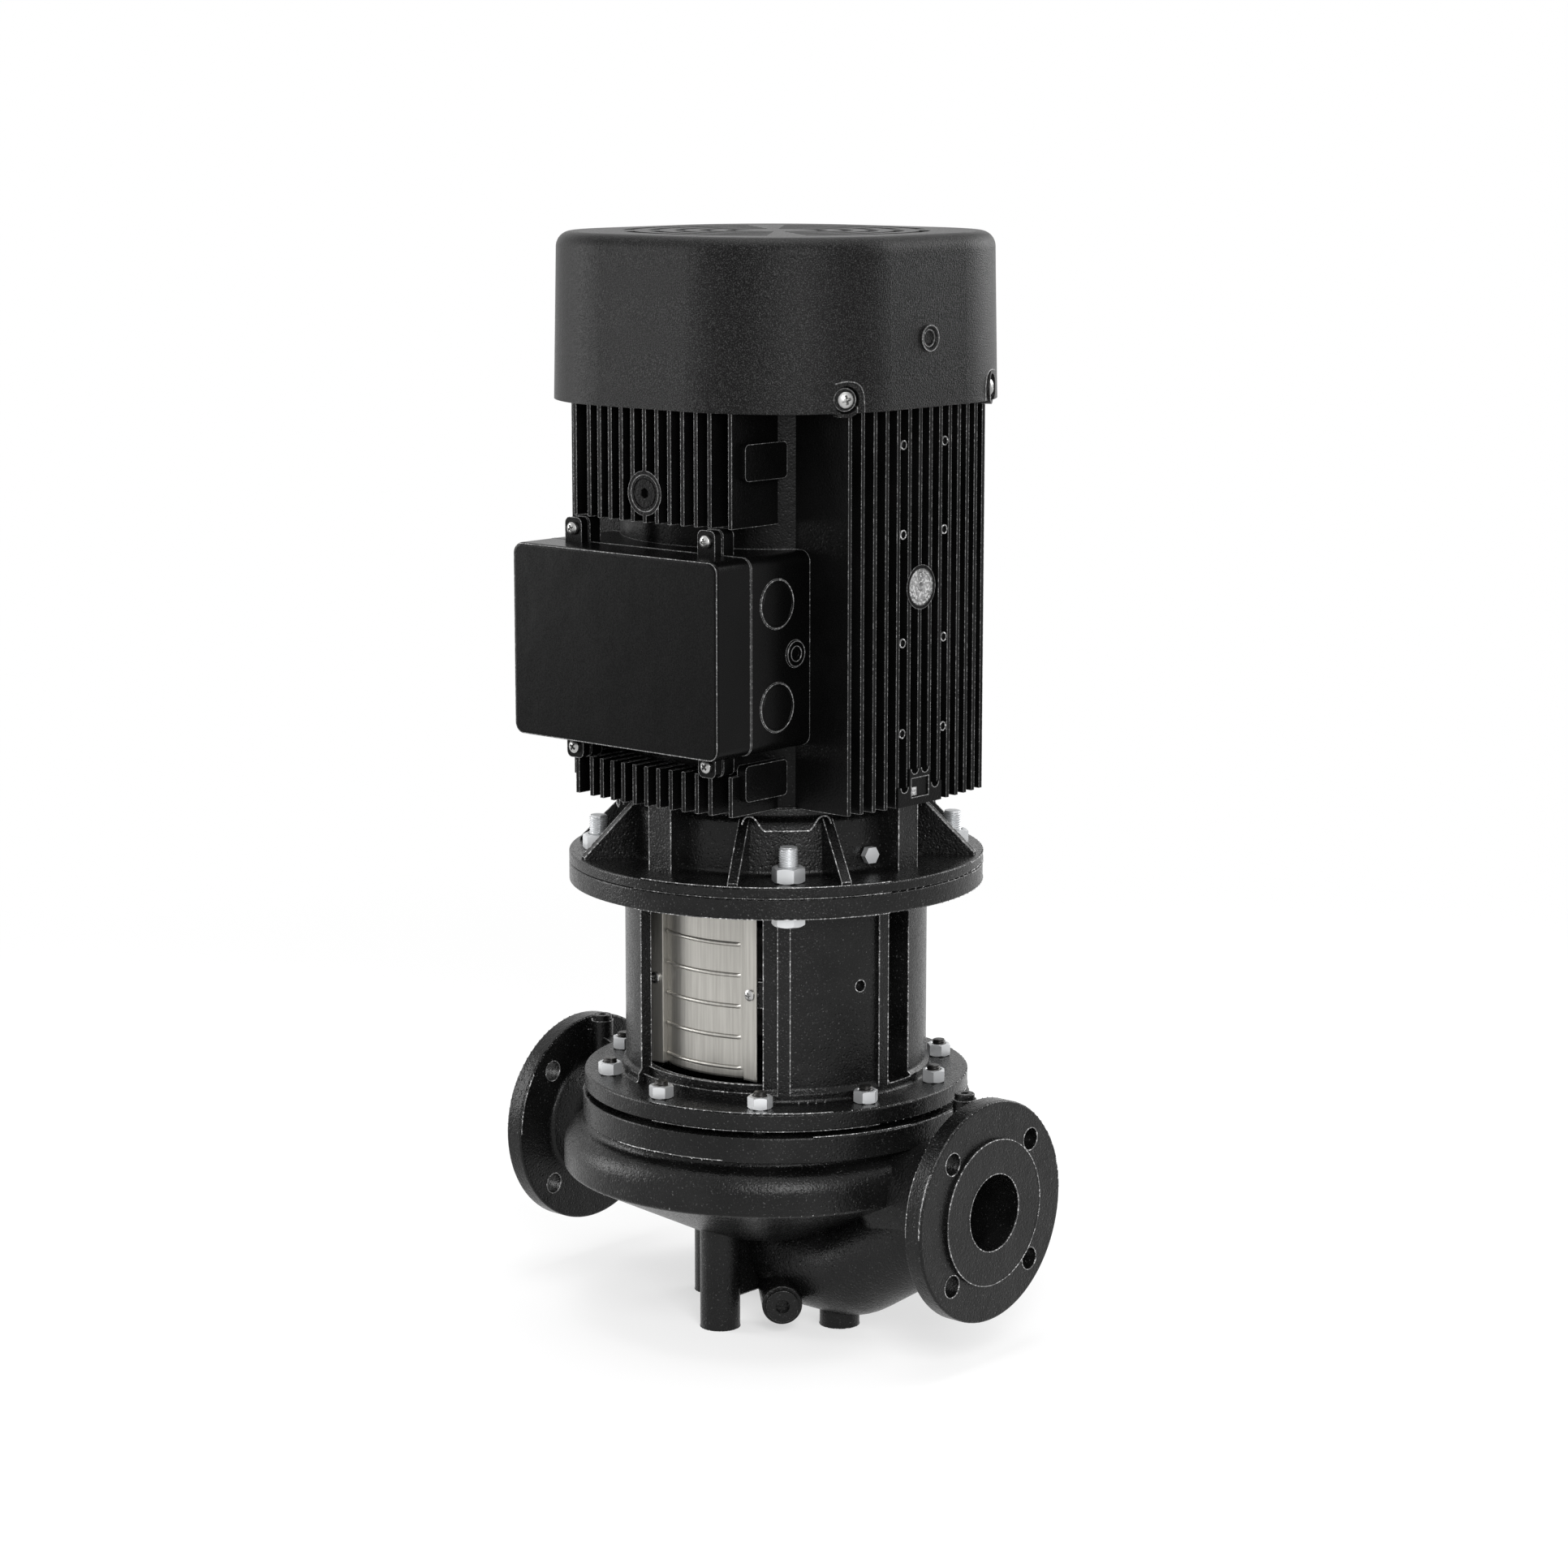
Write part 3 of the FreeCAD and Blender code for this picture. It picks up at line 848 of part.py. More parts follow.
# Fan cover: a rounded square hood, drafted, with a slotted grille on top
hood = piece("fan_cover")
hood_sketch = drawing(hood, "XY_Plane", level="cover_level")
rectangle(hood_sketch, "0 - cover_half", "cover_half", "0 - cover_half", "cover_half", "cover_corner")
hood_body = padded(hood, hood_sketch, "cover_top - cover_level")
hood_body.setExpression("TaperAngle", bound("0 - cover_draft"))
doc.recompute()
rim = [index + 1 for index, edge in enumerate(hood_body.Shape.Edges)
       if all(abs(vertex.Z - size("cover_top")) < 0.01 for vertex in edge.Vertexes)]
hood_edge = hood.newObject("PartDesign::Fillet", "fan_cover_edge")
hood_edge.Base = (hood_body, ["Edge%d" % index for index in rim])
hood_edge.setExpression("Radius", bound("cover_edge"))
inside = drawing(hood, "XY_Plane", level="cover_level")
rectangle(inside, "0 - cover_half + cover_wall_plate", "cover_half - cover_wall_plate",
          "0 - cover_half + cover_wall_plate", "cover_half - cover_wall_plate", "cover_corner - cover_wall_plate")
hollow = pocketed(hood, inside, "cover_top - cover_level - cover_edge", back=True)
hollow.setExpression("TaperAngle", bound("0 - cover_draft"))
inside_top = drawing(hood, "XY_Plane", level="cover_top - cover_edge - 1")
INSET = "cover_half - cover_wall_plate - cover_edge"
rectangle(inside_top, "0 - (%s)" % INSET, INSET, "0 - (%s)" % INSET, INSET, "cover_corner - cover_edge")
pocketed(hood, inside_top, "cover_edge + 1 - cover_wall_plate", back=True)
grille_sketch = drawing(hood, "XZ_Plane", turn="0")
for ring_index in range(int(size("grille_rings"))):
    near = "grille_inner + %d * grille_pitch" % ring_index
    rectangle(grille_sketch, near, near + " + grille_slot", "cover_top - cover_wall_plate - 2", "cover_top + 2")
slots = hood.newObject("PartDesign::Groove", "fan_cover_slots")
slots.Profile = grille_sketch
slots.ReferenceAxis = (grille_sketch, ["V_Axis"])
slots.Midplane = True
slots.setExpression("Angle", bound("grille_angle"))
around(hood, [slots], 4)
dimples = []
for turn in ("cover_screw_turn", "180 - cover_screw_turn"):
    dimples.append(turned(hood, [("cover_screw_seat - cover_wall_plate", 0), ("cover_screw_seat - cover_wall_plate", "ear_radius + 4"),
                                 ("cover_half + 16", "ear_radius + 4"), ("cover_half + 16", 0)],
                          turn=turn, lift="cover_screw_level", axis="H_Axis"))
for turn in ("cover_screw_turn", "180 - cover_screw_turn"):
    dimples.append(turned(hood, [("cover_screw_seat", 0), ("cover_screw_seat", "ear_radius + 1"),
                                 ("cover_half + 30", "ear_radius + 1"), ("cover_half + 30", 0)],
                          cut=True, turn=turn, lift="cover_screw_level", axis="H_Axis"))
    dimples.append(turned(hood, [("cover_half - 2", 0), ("cover_half - 2", "cover_screw_size / 2 + 0.5"),
                                 ("cover_half + 30", "cover_screw_size / 2 + 0.5"), ("cover_half + 30", 0)],
                          cut=True, turn=turn, lift="cover_screw_level", axis="H_Axis"))
around(hood, dimples, 2)
turned(hood, [("cover_half - 10", 0), ("cover_half - 10", "cover_plug_radius + thread_gap"),
              ("cover_half + 2", "cover_plug_radius + thread_gap"), ("cover_half + 2", 0)],
       cut=True, turn="90", lift="cover_plug_level", axis="H_Axis")
hood_screws = piece("fan_cover_screws", several=True)
around(hood_screws, [turned(
    hood_screws, [("fin_reach - ear_length + 2", 0), ("fin_reach - ear_length + 2", "cover_screw_size / 2"),
                  ("cover_screw_seat", "cover_screw_size / 2"), ("cover_screw_seat", "cover_screw_head / 2"),
                  ("cover_screw_seat + cover_screw_height", "cover_screw_head / 2", 1.5),
                  ("cover_screw_seat + cover_screw_height", 0)],
    turn=turn, lift="cover_screw_level", axis="H_Axis")
    for turn in ("cover_screw_turn", "180 - cover_screw_turn")], 2)
hood_plug = piece("fan_cover_plug")
turned(hood_plug, [("cover_half - cover_plug_height - 2", 0), ("cover_half - cover_plug_height - 2", "cover_plug_radius"),
                   ("cover_half + cover_plug_height - 2", "cover_plug_radius", 0.8),
                   ("cover_half + cover_plug_height - 2", 0)],
       turn="90", lift="cover_plug_level", axis="H_Axis")

# Terminal box: the base reaches back around the barrel, between the outermost side fins
BOX_TOP = "box_level + box_height"
BASE_FACE = "box_joint - gasket_thickness"
base = piece("terminal_box_base")
base_sketch = drawing(base, "XZ_Plane", level="box_back")
rectangle(base_sketch, "0 - box_half", "box_half", "box_level", BOX_TOP, "box_corner")
padded(base, base_sketch, "%s - box_back" % BASE_FACE)


# Screw lugs above and below the box, in one sketch
def box_lugs(body, level, depth, back=False):
    sketch = drawing(body, "XZ_Plane", level=level)
    for across in (-1, 1):
        middle = "%d * lid_lug_offset" % across
        for inner_edge, outer_edge in ((BOX_TOP + " - 6", BOX_TOP + " + lid_lug_rise + lid_lug_radius"),
                                       ("box_level - lid_lug_rise - lid_lug_radius", "box_level + 6")):
            rectangle(sketch, middle + " - lid_lug_radius", middle + " + lid_lug_radius",
                      inner_edge, outer_edge, 5)
    return padded(body, sketch, depth, back=back)


def box_holes(body, level, depth, radius, solid=False, back=False):
    sketch = drawing(body, "XZ_Plane", level=level)
    for across in (-1, 1):
        for height in (BOX_TOP + " + lid_lug_rise", "box_level - lid_lug_rise"):
            circle(sketch, "%d * lid_lug_offset" % across, height, radius)
    return (padded if solid else pocketed)(body, sketch, depth, back=back)


box_lugs(base, BASE_FACE, "base_lug_depth", back=True)
turned(base, [(0, "box_level - 30"), (BARREL + " + box_gap", "box_level - 30"),
              (BARREL + " + box_gap", BOX_TOP + " + 30"), (0, BOX_TOP + " + 30")], cut=True)
cavity = drawing(base, "XZ_Plane", level=BASE_FACE)
rectangle(cavity, "0 - box_half + box_wall", "box_half - box_wall", "box_level + box_wall", BOX_TOP + " - box_wall", 6)
pocketed(base, cavity, "%s - (%s) - box_gap - box_floor" % (BASE_FACE, BARREL))
box_holes(base, BASE_FACE, "base_lug_depth", "lid_screw_size / 2 + thread_gap")
entries = drawing(base, "YZ_Plane", level="box_half")
for height in ("knockout_top", "knockout_low"):
    circle(entries, "0 - knockout_setback", height, "knockout_radius + knockout_gap")
circle(entries, "0 - blank_setback", "blank_level", "blank_radius + knockout_gap")
mirrored(base, [pocketed(base, entries, "knockout_depth")], "YZ_Plane")
entry_plugs = piece("cable_entry_plugs", several=True)
entry_sketch = drawing(entry_plugs, "YZ_Plane", level="box_half - knockout_depth")
for height in ("knockout_top", "knockout_low"):
    circle(entry_sketch, "0 - knockout_setback", height, "knockout_radius")
mirrored(entry_plugs, [padded(entry_plugs, entry_sketch, "knockout_depth + 0.8")], "YZ_Plane")
blanks = piece("cable_blanking_plugs", several=True)
blank_sketch = drawing(blanks, "YZ_Plane", level="box_half - knockout_depth")
circle(blank_sketch, "0 - blank_setback", "blank_level", "blank_radius")
mirrored(blanks, [padded(blanks, blank_sketch, "knockout_depth + 1.5")], "YZ_Plane")

seal = piece("terminal_box_gasket")
seal_sketch = drawing(seal, "XZ_Plane", level=BASE_FACE)
rectangle(seal_sketch, "0 - box_half", "box_half", "box_level", BOX_TOP, "box_corner")
rectangle(seal_sketch, "0 - box_half + box_wall", "box_half - box_wall", "box_level + box_wall", BOX_TOP + " - box_wall", 6)
padded(seal, seal_sketch, "gasket_thickness")

lid = piece("terminal_box_lid")
lid_sketch = drawing(lid, "XZ_Plane", level="box_joint")
rectangle(lid_sketch, "0 - box_half", "box_half", "box_level", BOX_TOP, "box_corner")
lid_block = padded(lid, lid_sketch, "box_face - box_joint")
doc.recompute()
front_edges = [index + 1 for index, edge in enumerate(lid_block.Shape.Edges)
               if all(abs(vertex.Y + size("box_face")) < 0.01 for vertex in edge.Vertexes)]
lid_edge = lid.newObject("PartDesign::Fillet", "lid_edge")
lid_edge.Base = (lid_block, ["Edge%d" % index for index in front_edges])
lid_edge.setExpression("Radius", bound("lid_wall - 1"))
box_lugs(lid, "box_joint", "lid_lug_depth")
lid_cavity = drawing(lid, "XZ_Plane", level="box_joint")
rectangle(lid_cavity, "0 - box_half + lid_wall", "box_half - lid_wall", "box_level + lid_wall", BOX_TOP + " - lid_wall", 6)
pocketed(lid, lid_cavity, "box_face - box_joint - lid_wall", back=True)
box_holes(lid, "box_joint", "lid_lug_depth", "lid_screw_size / 2 + cover_gap", back=True)

lid_screws = piece("lid_screws", several=True)
box_holes(lid_screws, "box_joint + lid_lug_depth", "lid_lug_depth + gasket_thickness + base_lug_depth - 1",
          "lid_screw_size / 2", solid=True, back=True)
box_holes(lid_screws, "box_joint + lid_lug_depth", "lid_screw_height", "lid_screw_head / 2", solid=True)

# Terminal block with six posts on the floor of the box
BLOCK_SEAT = BARREL + " + box_gap + box_floor"
MIDDLE = "box_level + box_height / 2"
block = piece("terminal_block")
block_sketch = drawing(block, "XZ_Plane", level=BLOCK_SEAT)
rectangle(block_sketch, "0 - block_width / 2", "block_width / 2", "%s - block_height / 2" % MIDDLE,
          "%s + block_height / 2" % MIDDLE, 5)
padded(block, block_sketch, "block_depth")
posts = piece("terminal_posts", several=True)
post_sketch = drawing(posts, "XZ_Plane", level="(%s) + block_depth" % BLOCK_SEAT)
for column in (-1, 0, 1):
    for row in (-1, 1):
        circle(post_sketch, "%d * post_pitch" % column, "%s + %d * post_row / 2" % (MIDDLE, row), "post_size / 2")
padded(posts, post_sketch, "post_rise")


for body in pieces:
    body.Tip.Refine = True
doc.recompute()
for part in doc.Objects:
    if "Invalid" in part.State or "Error" in part.State:
        raise RuntimeError("%s did not build: %s" % (part.Label, part.getStatusString()))
for body in pieces:
    if body.Shape.isNull() or not body.Shape.isValid():
        raise RuntimeError("%s has no valid shape" % body.Label)
for body in pieces:
    body.Shape.exportStep("parts/%s.step" % body.Label)
print("%d pieces written" % len(pieces))
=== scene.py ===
# Looks of a vertical inline pump: camera, light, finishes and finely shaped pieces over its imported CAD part
import math
import bpy
import bmesh
import numpy as np
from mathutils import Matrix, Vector


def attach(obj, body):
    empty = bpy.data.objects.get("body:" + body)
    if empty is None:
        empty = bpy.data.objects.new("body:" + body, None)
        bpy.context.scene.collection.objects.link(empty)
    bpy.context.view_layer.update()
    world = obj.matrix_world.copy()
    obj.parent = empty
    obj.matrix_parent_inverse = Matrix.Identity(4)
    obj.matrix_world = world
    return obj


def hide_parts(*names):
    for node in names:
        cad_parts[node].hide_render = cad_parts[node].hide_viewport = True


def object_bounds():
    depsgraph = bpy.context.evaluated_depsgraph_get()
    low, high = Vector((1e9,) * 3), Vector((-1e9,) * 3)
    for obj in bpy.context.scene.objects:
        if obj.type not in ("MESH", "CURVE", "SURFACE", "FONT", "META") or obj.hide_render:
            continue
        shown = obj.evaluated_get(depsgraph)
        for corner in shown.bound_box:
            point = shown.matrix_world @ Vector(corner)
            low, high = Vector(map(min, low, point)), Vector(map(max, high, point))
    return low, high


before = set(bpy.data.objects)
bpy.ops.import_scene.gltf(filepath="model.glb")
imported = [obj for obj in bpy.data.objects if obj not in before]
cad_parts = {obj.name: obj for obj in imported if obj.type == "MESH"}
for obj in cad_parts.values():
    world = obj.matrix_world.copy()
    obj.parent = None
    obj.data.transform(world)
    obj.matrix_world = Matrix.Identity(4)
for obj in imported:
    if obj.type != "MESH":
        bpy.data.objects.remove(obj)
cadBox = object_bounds()
scene = bpy.context.scene
print("frame loaded,", len(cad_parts), "nodes")

# Camera: angles in degrees, lengths in metres, the focal length and the picture's side in pixels
photoView = {"azimuth": 41.19, "pitch": 9.84, "distance": 3.1765, "aimHeight": 0.4852, "focalPixels": 4640.5,
             "picture": 1932, "shiftX": 0.0051, "shiftY": -0.02, "sensor": 36, "farthest": 60}


def placeCamera(look):
    # stands back from a point on the shaft axis and looks down at it
    turn, tilt = math.radians(look["azimuth"]), math.radians(look["pitch"])
    away = Vector((math.sin(turn) * math.cos(tilt), -math.cos(turn) * math.cos(tilt), math.sin(tilt)))
    lens = bpy.data.cameras.new("photoCamera")
    lens.sensor_width = look["sensor"]
    lens.lens = look["sensor"] * look["focalPixels"] / look["picture"]
    lens.shift_x, lens.shift_y = look["shiftX"], look["shiftY"]
    lens.clip_end = look["farthest"]
    camera = bpy.data.objects.new("photoCamera", lens)
    camera.location = Vector((0, 0, look["aimHeight"])) + away * look["distance"]
    camera.rotation_euler = away.to_track_quat("Z", "Y").to_euler()
    scene.collection.objects.link(camera)
    scene.camera = camera


placeCamera(photoView)

# Helpers for shader nodes
noiseMiddle = (0.3, 0.7)    # the part of a noise's values that polish follows


def addNode(tree, kind, **sockets):
    # a keyword is a property of the node, a socket's name with _ for a space, or a socket's number, as in i0
    node = tree.nodes.new(kind)
    for name, value in sockets.items():
        if name in node.bl_rna.properties:
            setattr(node, name, value)
        else:
            socket = node.inputs[int(name[1:])] if name[1:].isdigit() else node.inputs[name.replace("_", " ")]
            if isinstance(value, bpy.types.NodeSocket):
                tree.links.new(value, socket)
            else:
                socket.default_value = value
    return node


def opaque(colour):
    # three parts, or one number for a grey, and full cover
    return (*(colour if hasattr(colour, "__len__") else (colour,) * 3), 1)


def ramp(tree, factor, stops):
    # two stops, each a place and a colour
    node = tree.nodes.new("ShaderNodeValToRGB")
    tree.links.new(factor, node.inputs[0])
    for element, (place, colour) in zip(node.color_ramp.elements, stops):
        element.position = place
        element.color = opaque(colour)
    return node.outputs["Color"]


def spread(tree, factor, low, high, first=0.0, last=1.0, **kind):
    # values from first to last become values from low to high
    node = addNode(tree, "ShaderNodeMapRange", Value=factor, **kind)
    node.inputs["From Min"].default_value, node.inputs["From Max"].default_value = first, last
    node.inputs["To Min"].default_value, node.inputs["To Max"].default_value = low, high
    return node.outputs["Result"]


def cloud(tree, place, scale, detail=2.0, rough=0.5):
    return addNode(tree, "ShaderNodeTexNoise", Vector=place, Scale=scale, Detail=detail,
                   Roughness=rough).outputs["Fac"]


def cells(tree, place, scale):
    return addNode(tree, "ShaderNodeTexVoronoi", Vector=place, Scale=scale).outputs["Distance"]


def raised(tree, layers):
    # stacks bumps: each layer is a height socket, the height in metres that 1 stands for, and its strength
    normal = None
    for height, reach, strength in layers:
        bump = addNode(tree, "ShaderNodeBump", Height=height, Distance=reach, Strength=strength)
        if normal is not None:
            tree.links.new(normal, bump.inputs["Normal"])
        normal = bump.outputs["Normal"]
    return normal


def rayKinds(tree, *kinds):
    # 1 for a ray of any of these kinds, 0 for the rest
    rays = tree.nodes.new("ShaderNodeLightPath")
    seen = rays.outputs[kinds[0]]
    for kind in kinds[1:]:
        seen = addNode(tree, "ShaderNodeMath", operation="MAXIMUM", i0=seen, i1=rays.outputs[kind]).outputs[0]
    return seen


def newFinish(name):
    material = bpy.data.materials.new(name)
    material.use_nodes = True
    tree = material.node_tree
    shader = tree.nodes["Principled BSDF"]
    place = tree.nodes.new("ShaderNodeTexCoord").outputs["Object"]
    return material, tree, shader, place


def angles(count, start=0.0):
    return start + np.linspace(0, 2 * np.pi, count, endpoint=False)


# Light, floor and background: a lamp has its power in watts, its place, the point it faces, width and height
studio = {"worldFill": 0.42, "floorColour": 0.9, "floorRoughness": 0.9, "floorReach": 14, "floorSides": 64,
          "shadowNear": 0.55, "shadowFar": 1.9, "nearWhite": 0.55,
          "lamps": {"keyPower": (62, (1.9, -1.5, 1.5), (0, 0, 0.45), 1.1, 1.5),
                    "fillPower": (40, (-2.1, -1.3, 1.0), (0, 0, 0.5), 1.0, 1.6),
                    "topPower": (26, (0, 0, 2.6), (0, 0, 0.6), 1.4, 1.4),
                    "backPower": (34, (0.6, 2.2, 1.4), (0, 0, 0.5), 1.4, 1.4)}}


def lightStudio(look):
    # the background is plain white where it is seen or mirrored, and lights the pump less than that
    world = bpy.data.worlds.new("studioWorld")
    scene.world = world
    world.use_nodes = True
    tree = world.node_tree
    ground = tree.nodes["Background"]
    seen = rayKinds(tree, "Is Camera Ray", "Is Glossy Ray", "Is Transmission Ray")
    ground.inputs["Color"].default_value = opaque(1)
    tree.links.new(spread(tree, seen, look["worldFill"], 1), ground.inputs["Strength"])
    for name, (power, spot, aim, wide, high) in look["lamps"].items():
        lamp = bpy.data.lights.new(name, "AREA")
        lamp.shape = "RECTANGLE"
        lamp.size, lamp.size_y, lamp.energy = wide, high, power
        lampObject = bpy.data.objects.new(name, lamp)
        lampObject.location = spot
        lampObject.rotation_euler = (Vector(spot) - Vector(aim)).to_track_quat("Z", "Y").to_euler()
        scene.collection.objects.link(lampObject)


def layFloor(look):
    # a round floor: shaded near the pump, plain white further out
    reach, turns = look["floorReach"], angles(look["floorSides"])
    rim = np.stack([reach * np.cos(turns), reach * np.sin(turns), np.full(len(turns), cadBox[0].z)], 1)
    mesh = bpy.data.meshes.new("studioFloor")
    mesh.from_pydata(rim.tolist(), [], [tuple(range(len(turns)))])
    floor = bpy.data.objects.new("studioFloor", mesh)
    scene.collection.objects.link(floor)
    material, tree, shader, place = newFinish("paleFloor")
    shader.inputs["Base Color"].default_value = opaque(look["floorColour"])
    shader.inputs["Roughness"].default_value = look["floorRoughness"]
    shader.inputs["Specular IOR Level"].default_value = 0
    distance = addNode(tree, "ShaderNodeVectorMath", operation="LENGTH", i0=place).outputs["Value"]
    white = spread(tree, distance, look["nearWhite"], 1, look["shadowNear"], look["shadowFar"],
                   interpolation_type="SMOOTHSTEP")
    seen = rayKinds(tree, "Is Camera Ray", "Is Glossy Ray")
    share = addNode(tree, "ShaderNodeMath", operation="MULTIPLY", i0=seen, i1=white)
    plain = addNode(tree, "ShaderNodeEmission", Strength=1.0)
    blend = addNode(tree, "ShaderNodeMixShader", i0=share.outputs[0], i1=shader.outputs[0],
                    i2=plain.outputs[0])
    tree.links.new(blend.outputs[0], tree.nodes["Material Output"].inputs["Surface"])
    mesh.materials.append(material)


lightStudio(studio)
layFloor(studio)
scene.view_settings.view_transform = "Standard"
print("camera, light and floor are set")

# Finishes: tones from 0 to 1, textures in cells per metre, heights in metres, shares as strengths of a bump
# the glint keys set a painted highlight: bright specks mixed into each paint's colour
paintLook = {"mottleFrom": 0.35, "mottleTo": 0.68, "paintedGlintWidth": 0.1, "pitFrom": 0.05, "pitTo": 0.35,
             "swellShare": 1.0, "pitShare": 0.6, "grainShare": 0.9}
castLook = dict(paintLook, dark=0.0024, light=0.0062, paintedGlint=0.07, paintedGlintFrom=0.64, mottle=22, swell=45,
                grain=520, pit=300, glintSpeck=560, swellHeight=0.0009, grainHeight=0.0005, pitHeight=0.0004,
                smooth=0.16, dull=0.38, sheen=0.2)
frameLook = dict(paintLook, dark=0.0012, light=0.003, paintedGlint=0.012, paintedGlintFrom=0.7, mottle=14, swell=60,
                 grain=520, pit=330, glintSpeck=600, swellHeight=0.0004, grainHeight=0.00022, pitHeight=0.0002,
                 smooth=0.22, dull=0.36, sheen=0.07)
boxLook = dict(paintLook, dark=0.0008, light=0.0016, paintedGlint=0.006, paintedGlintFrom=0.7, mottle=10, swell=30,
               grain=700, pit=420, glintSpeck=700, swellHeight=0.0003, grainHeight=0.00005, pitHeight=0.00004,
               smooth=0.22, dull=0.32, sheen=0.075)
# pale speckled paint for thin beads along edges: a painted highlight
edgeHighlightLook = dict(paintLook, dark=0.03, light=0.15, paintedGlint=0.5, paintedGlintFrom=0.52, mottle=60, swell=60, grain=620,
                pit=420, glintSpeck=420, swellHeight=0.0003, grainHeight=0.0003, pitHeight=0.0002, smooth=0.22,
                dull=0.4, sheen=0.5)


def castPaint(name, look):
    # black paint over a casting: mottled colour with bright specks of painted glint, and slow swells, sand
    # grains and pits
    material, tree, shader, place = newFinish(name)
    mottle = cloud(tree, place, look["mottle"], detail=4.0)
    plain = ramp(tree, mottle, [(look["mottleFrom"], look["dark"]), (look["mottleTo"], look["light"])])
    # painted glint: bright specks mixed into the base colour
    glintSpeck = cloud(tree, place, look["glintSpeck"], rough=0.7)
    glintSpeck = spread(tree, glintSpeck, 0, 1, look["paintedGlintFrom"], look["paintedGlintFrom"] + look["paintedGlintWidth"])
    colour = addNode(tree, "ShaderNodeMix", data_type="RGBA", i0=glintSpeck, i6=plain, i7=opaque(look["paintedGlint"]))
    tree.links.new(colour.outputs[2], shader.inputs["Base Color"])
    grain = cloud(tree, place, look["grain"], rough=0.6)
    pit = spread(tree, cells(tree, place, look["pit"]), 0, 1, look["pitFrom"], look["pitTo"])
    swell = cloud(tree, place, look["swell"])
    polish = spread(tree, grain, look["smooth"], look["dull"], *noiseMiddle)
    tree.links.new(polish, shader.inputs["Roughness"])
    layers = [(swell, look["swellHeight"], look["swellShare"]), (pit, look["pitHeight"], look["pitShare"]),
              (grain, look["grainHeight"], look["grainShare"])]
    tree.links.new(raised(tree, layers), shader.inputs["Normal"])
    shader.inputs["Specular IOR Level"].default_value = look["sheen"]
    return material


# tip is the colour of a painted highlight on the grain's raised tips
coverLook = {"dark": 0.0022, "light": 0.0036, "tone": 9, "tip": 0.045, "tipHighlightFrom": 0.5, "tipHighlightTo": 0.72,
             "grain": 1050, "grainHeight": 0.00022, "grainShare": 0.8, "pebble": 820, "pebbleFrom": 0.05,
             "pebbleTo": 0.6, "pebbleHeight": 0.00025, "pebbleShare": 0.7, "smooth": 0.26, "dull": 0.44,
             "sheen": 0.08}


def grainedPlastic(name, look):
    # moulded charcoal plastic with the fine pebbled grain of an etched tool, its raised tips painted lighter
    # as a painted highlight
    material, tree, shader, place = newFinish(name)
    tone = cloud(tree, place, look["tone"], detail=3.0)
    plain = ramp(tree, tone, [(noiseMiddle[0], look["dark"]), (noiseMiddle[1], look["light"])])
    grain = cloud(tree, place, look["grain"], detail=3.0, rough=0.6)
    # painted highlight: the grain's highest tips get the lighter tip colour
    tip = spread(tree, grain, 0, 1, look["tipHighlightFrom"], look["tipHighlightTo"])
    colour = addNode(tree, "ShaderNodeMix", data_type="RGBA", i0=tip, i6=plain, i7=opaque(look["tip"]))
    tree.links.new(colour.outputs[2], shader.inputs["Base Color"])
    pebble = spread(tree, cells(tree, place, look["pebble"]), 0, 1, look["pebbleFrom"], look["pebbleTo"])
    polish = spread(tree, grain, look["smooth"], look["dull"], *noiseMiddle)
    tree.links.new(polish, shader.inputs["Roughness"])
    layers = [(pebble, look["pebbleHeight"], look["pebbleShare"]),
              (grain, look["grainHeight"], look["grainShare"])]
    tree.links.new(raised(tree, layers), shader.inputs["Normal"])
    shader.inputs["Specular IOR Level"].default_value = look["sheen"]
    return material


metalLook = {"streak": (1, 1, 1), "patch": 18, "fine": 500.0, "height": 0.00002, "share": 0.8, "turned": 0.0,
             "metal": 1.0}


def bareMetal(name, look):
    # bright metal: colour and polish vary in streaks, which follow the way it was rolled, ground or turned
    material, tree, shader, place = newFinish(name)
    along = addNode(tree, "ShaderNodeMapping", Vector=place, Scale=look["streak"]).outputs["Vector"]
    wide = cloud(tree, along, look["patch"], detail=3.0)
    tight = cloud(tree, along, look["fine"], detail=3.0, rough=0.6)
    tones = ramp(tree, wide, [(noiseMiddle[0], look["dark"]), (noiseMiddle[1], look["light"])])
    tree.links.new(tones, shader.inputs["Base Color"])
    polish = spread(tree, tight, look["smooth"], look["dull"], *noiseMiddle)
    tree.links.new(polish, shader.inputs["Roughness"])
    tree.links.new(raised(tree, [(tight, look["height"], look["share"])]), shader.inputs["Normal"])
    shader.inputs["Metallic"].default_value = look["metal"]
    shader.inputs["Anisotropic"].default_value = look["turned"]
    return material


rubberLook = {"bloom": 60, "bloomFrom": 0.35, "bloomTo": 0.75, "pale": 1.8, "grain": 900, "height": 0.0001,
              "share": 0.5, "smooth": 0.55, "dull": 0.75, "sheen": 0.3}


def softRubber(name, look):
    # matt black with a paler bloom in patches
    material, tree, shader, place = newFinish(name)
    bloom, tone = cloud(tree, place, look["bloom"], detail=4.0), look["tone"]
    tones = ramp(tree, bloom, [(look["bloomFrom"], tone), (look["bloomTo"], tone * look["pale"])])
    tree.links.new(tones, shader.inputs["Base Color"])
    tree.links.new(spread(tree, bloom, look["smooth"], look["dull"]), shader.inputs["Roughness"])
    grain = cloud(tree, place, look["grain"])
    tree.links.new(raised(tree, [(grain, look["height"], look["share"])]), shader.inputs["Normal"])
    shader.inputs["Specular IOR Level"].default_value = look["sheen"]
    return material


copperLook = {"strands": 260.0, "waver": 1.5, "gap": (0.1, (0.16, 0.045, 0.012)),
              "crown": (0.8, (0.62, 0.24, 0.07)), "gapDull": 0.45, "crownDull": 0.22, "height": 0.0006,
              "share": 0.8, "metal": 0.75}


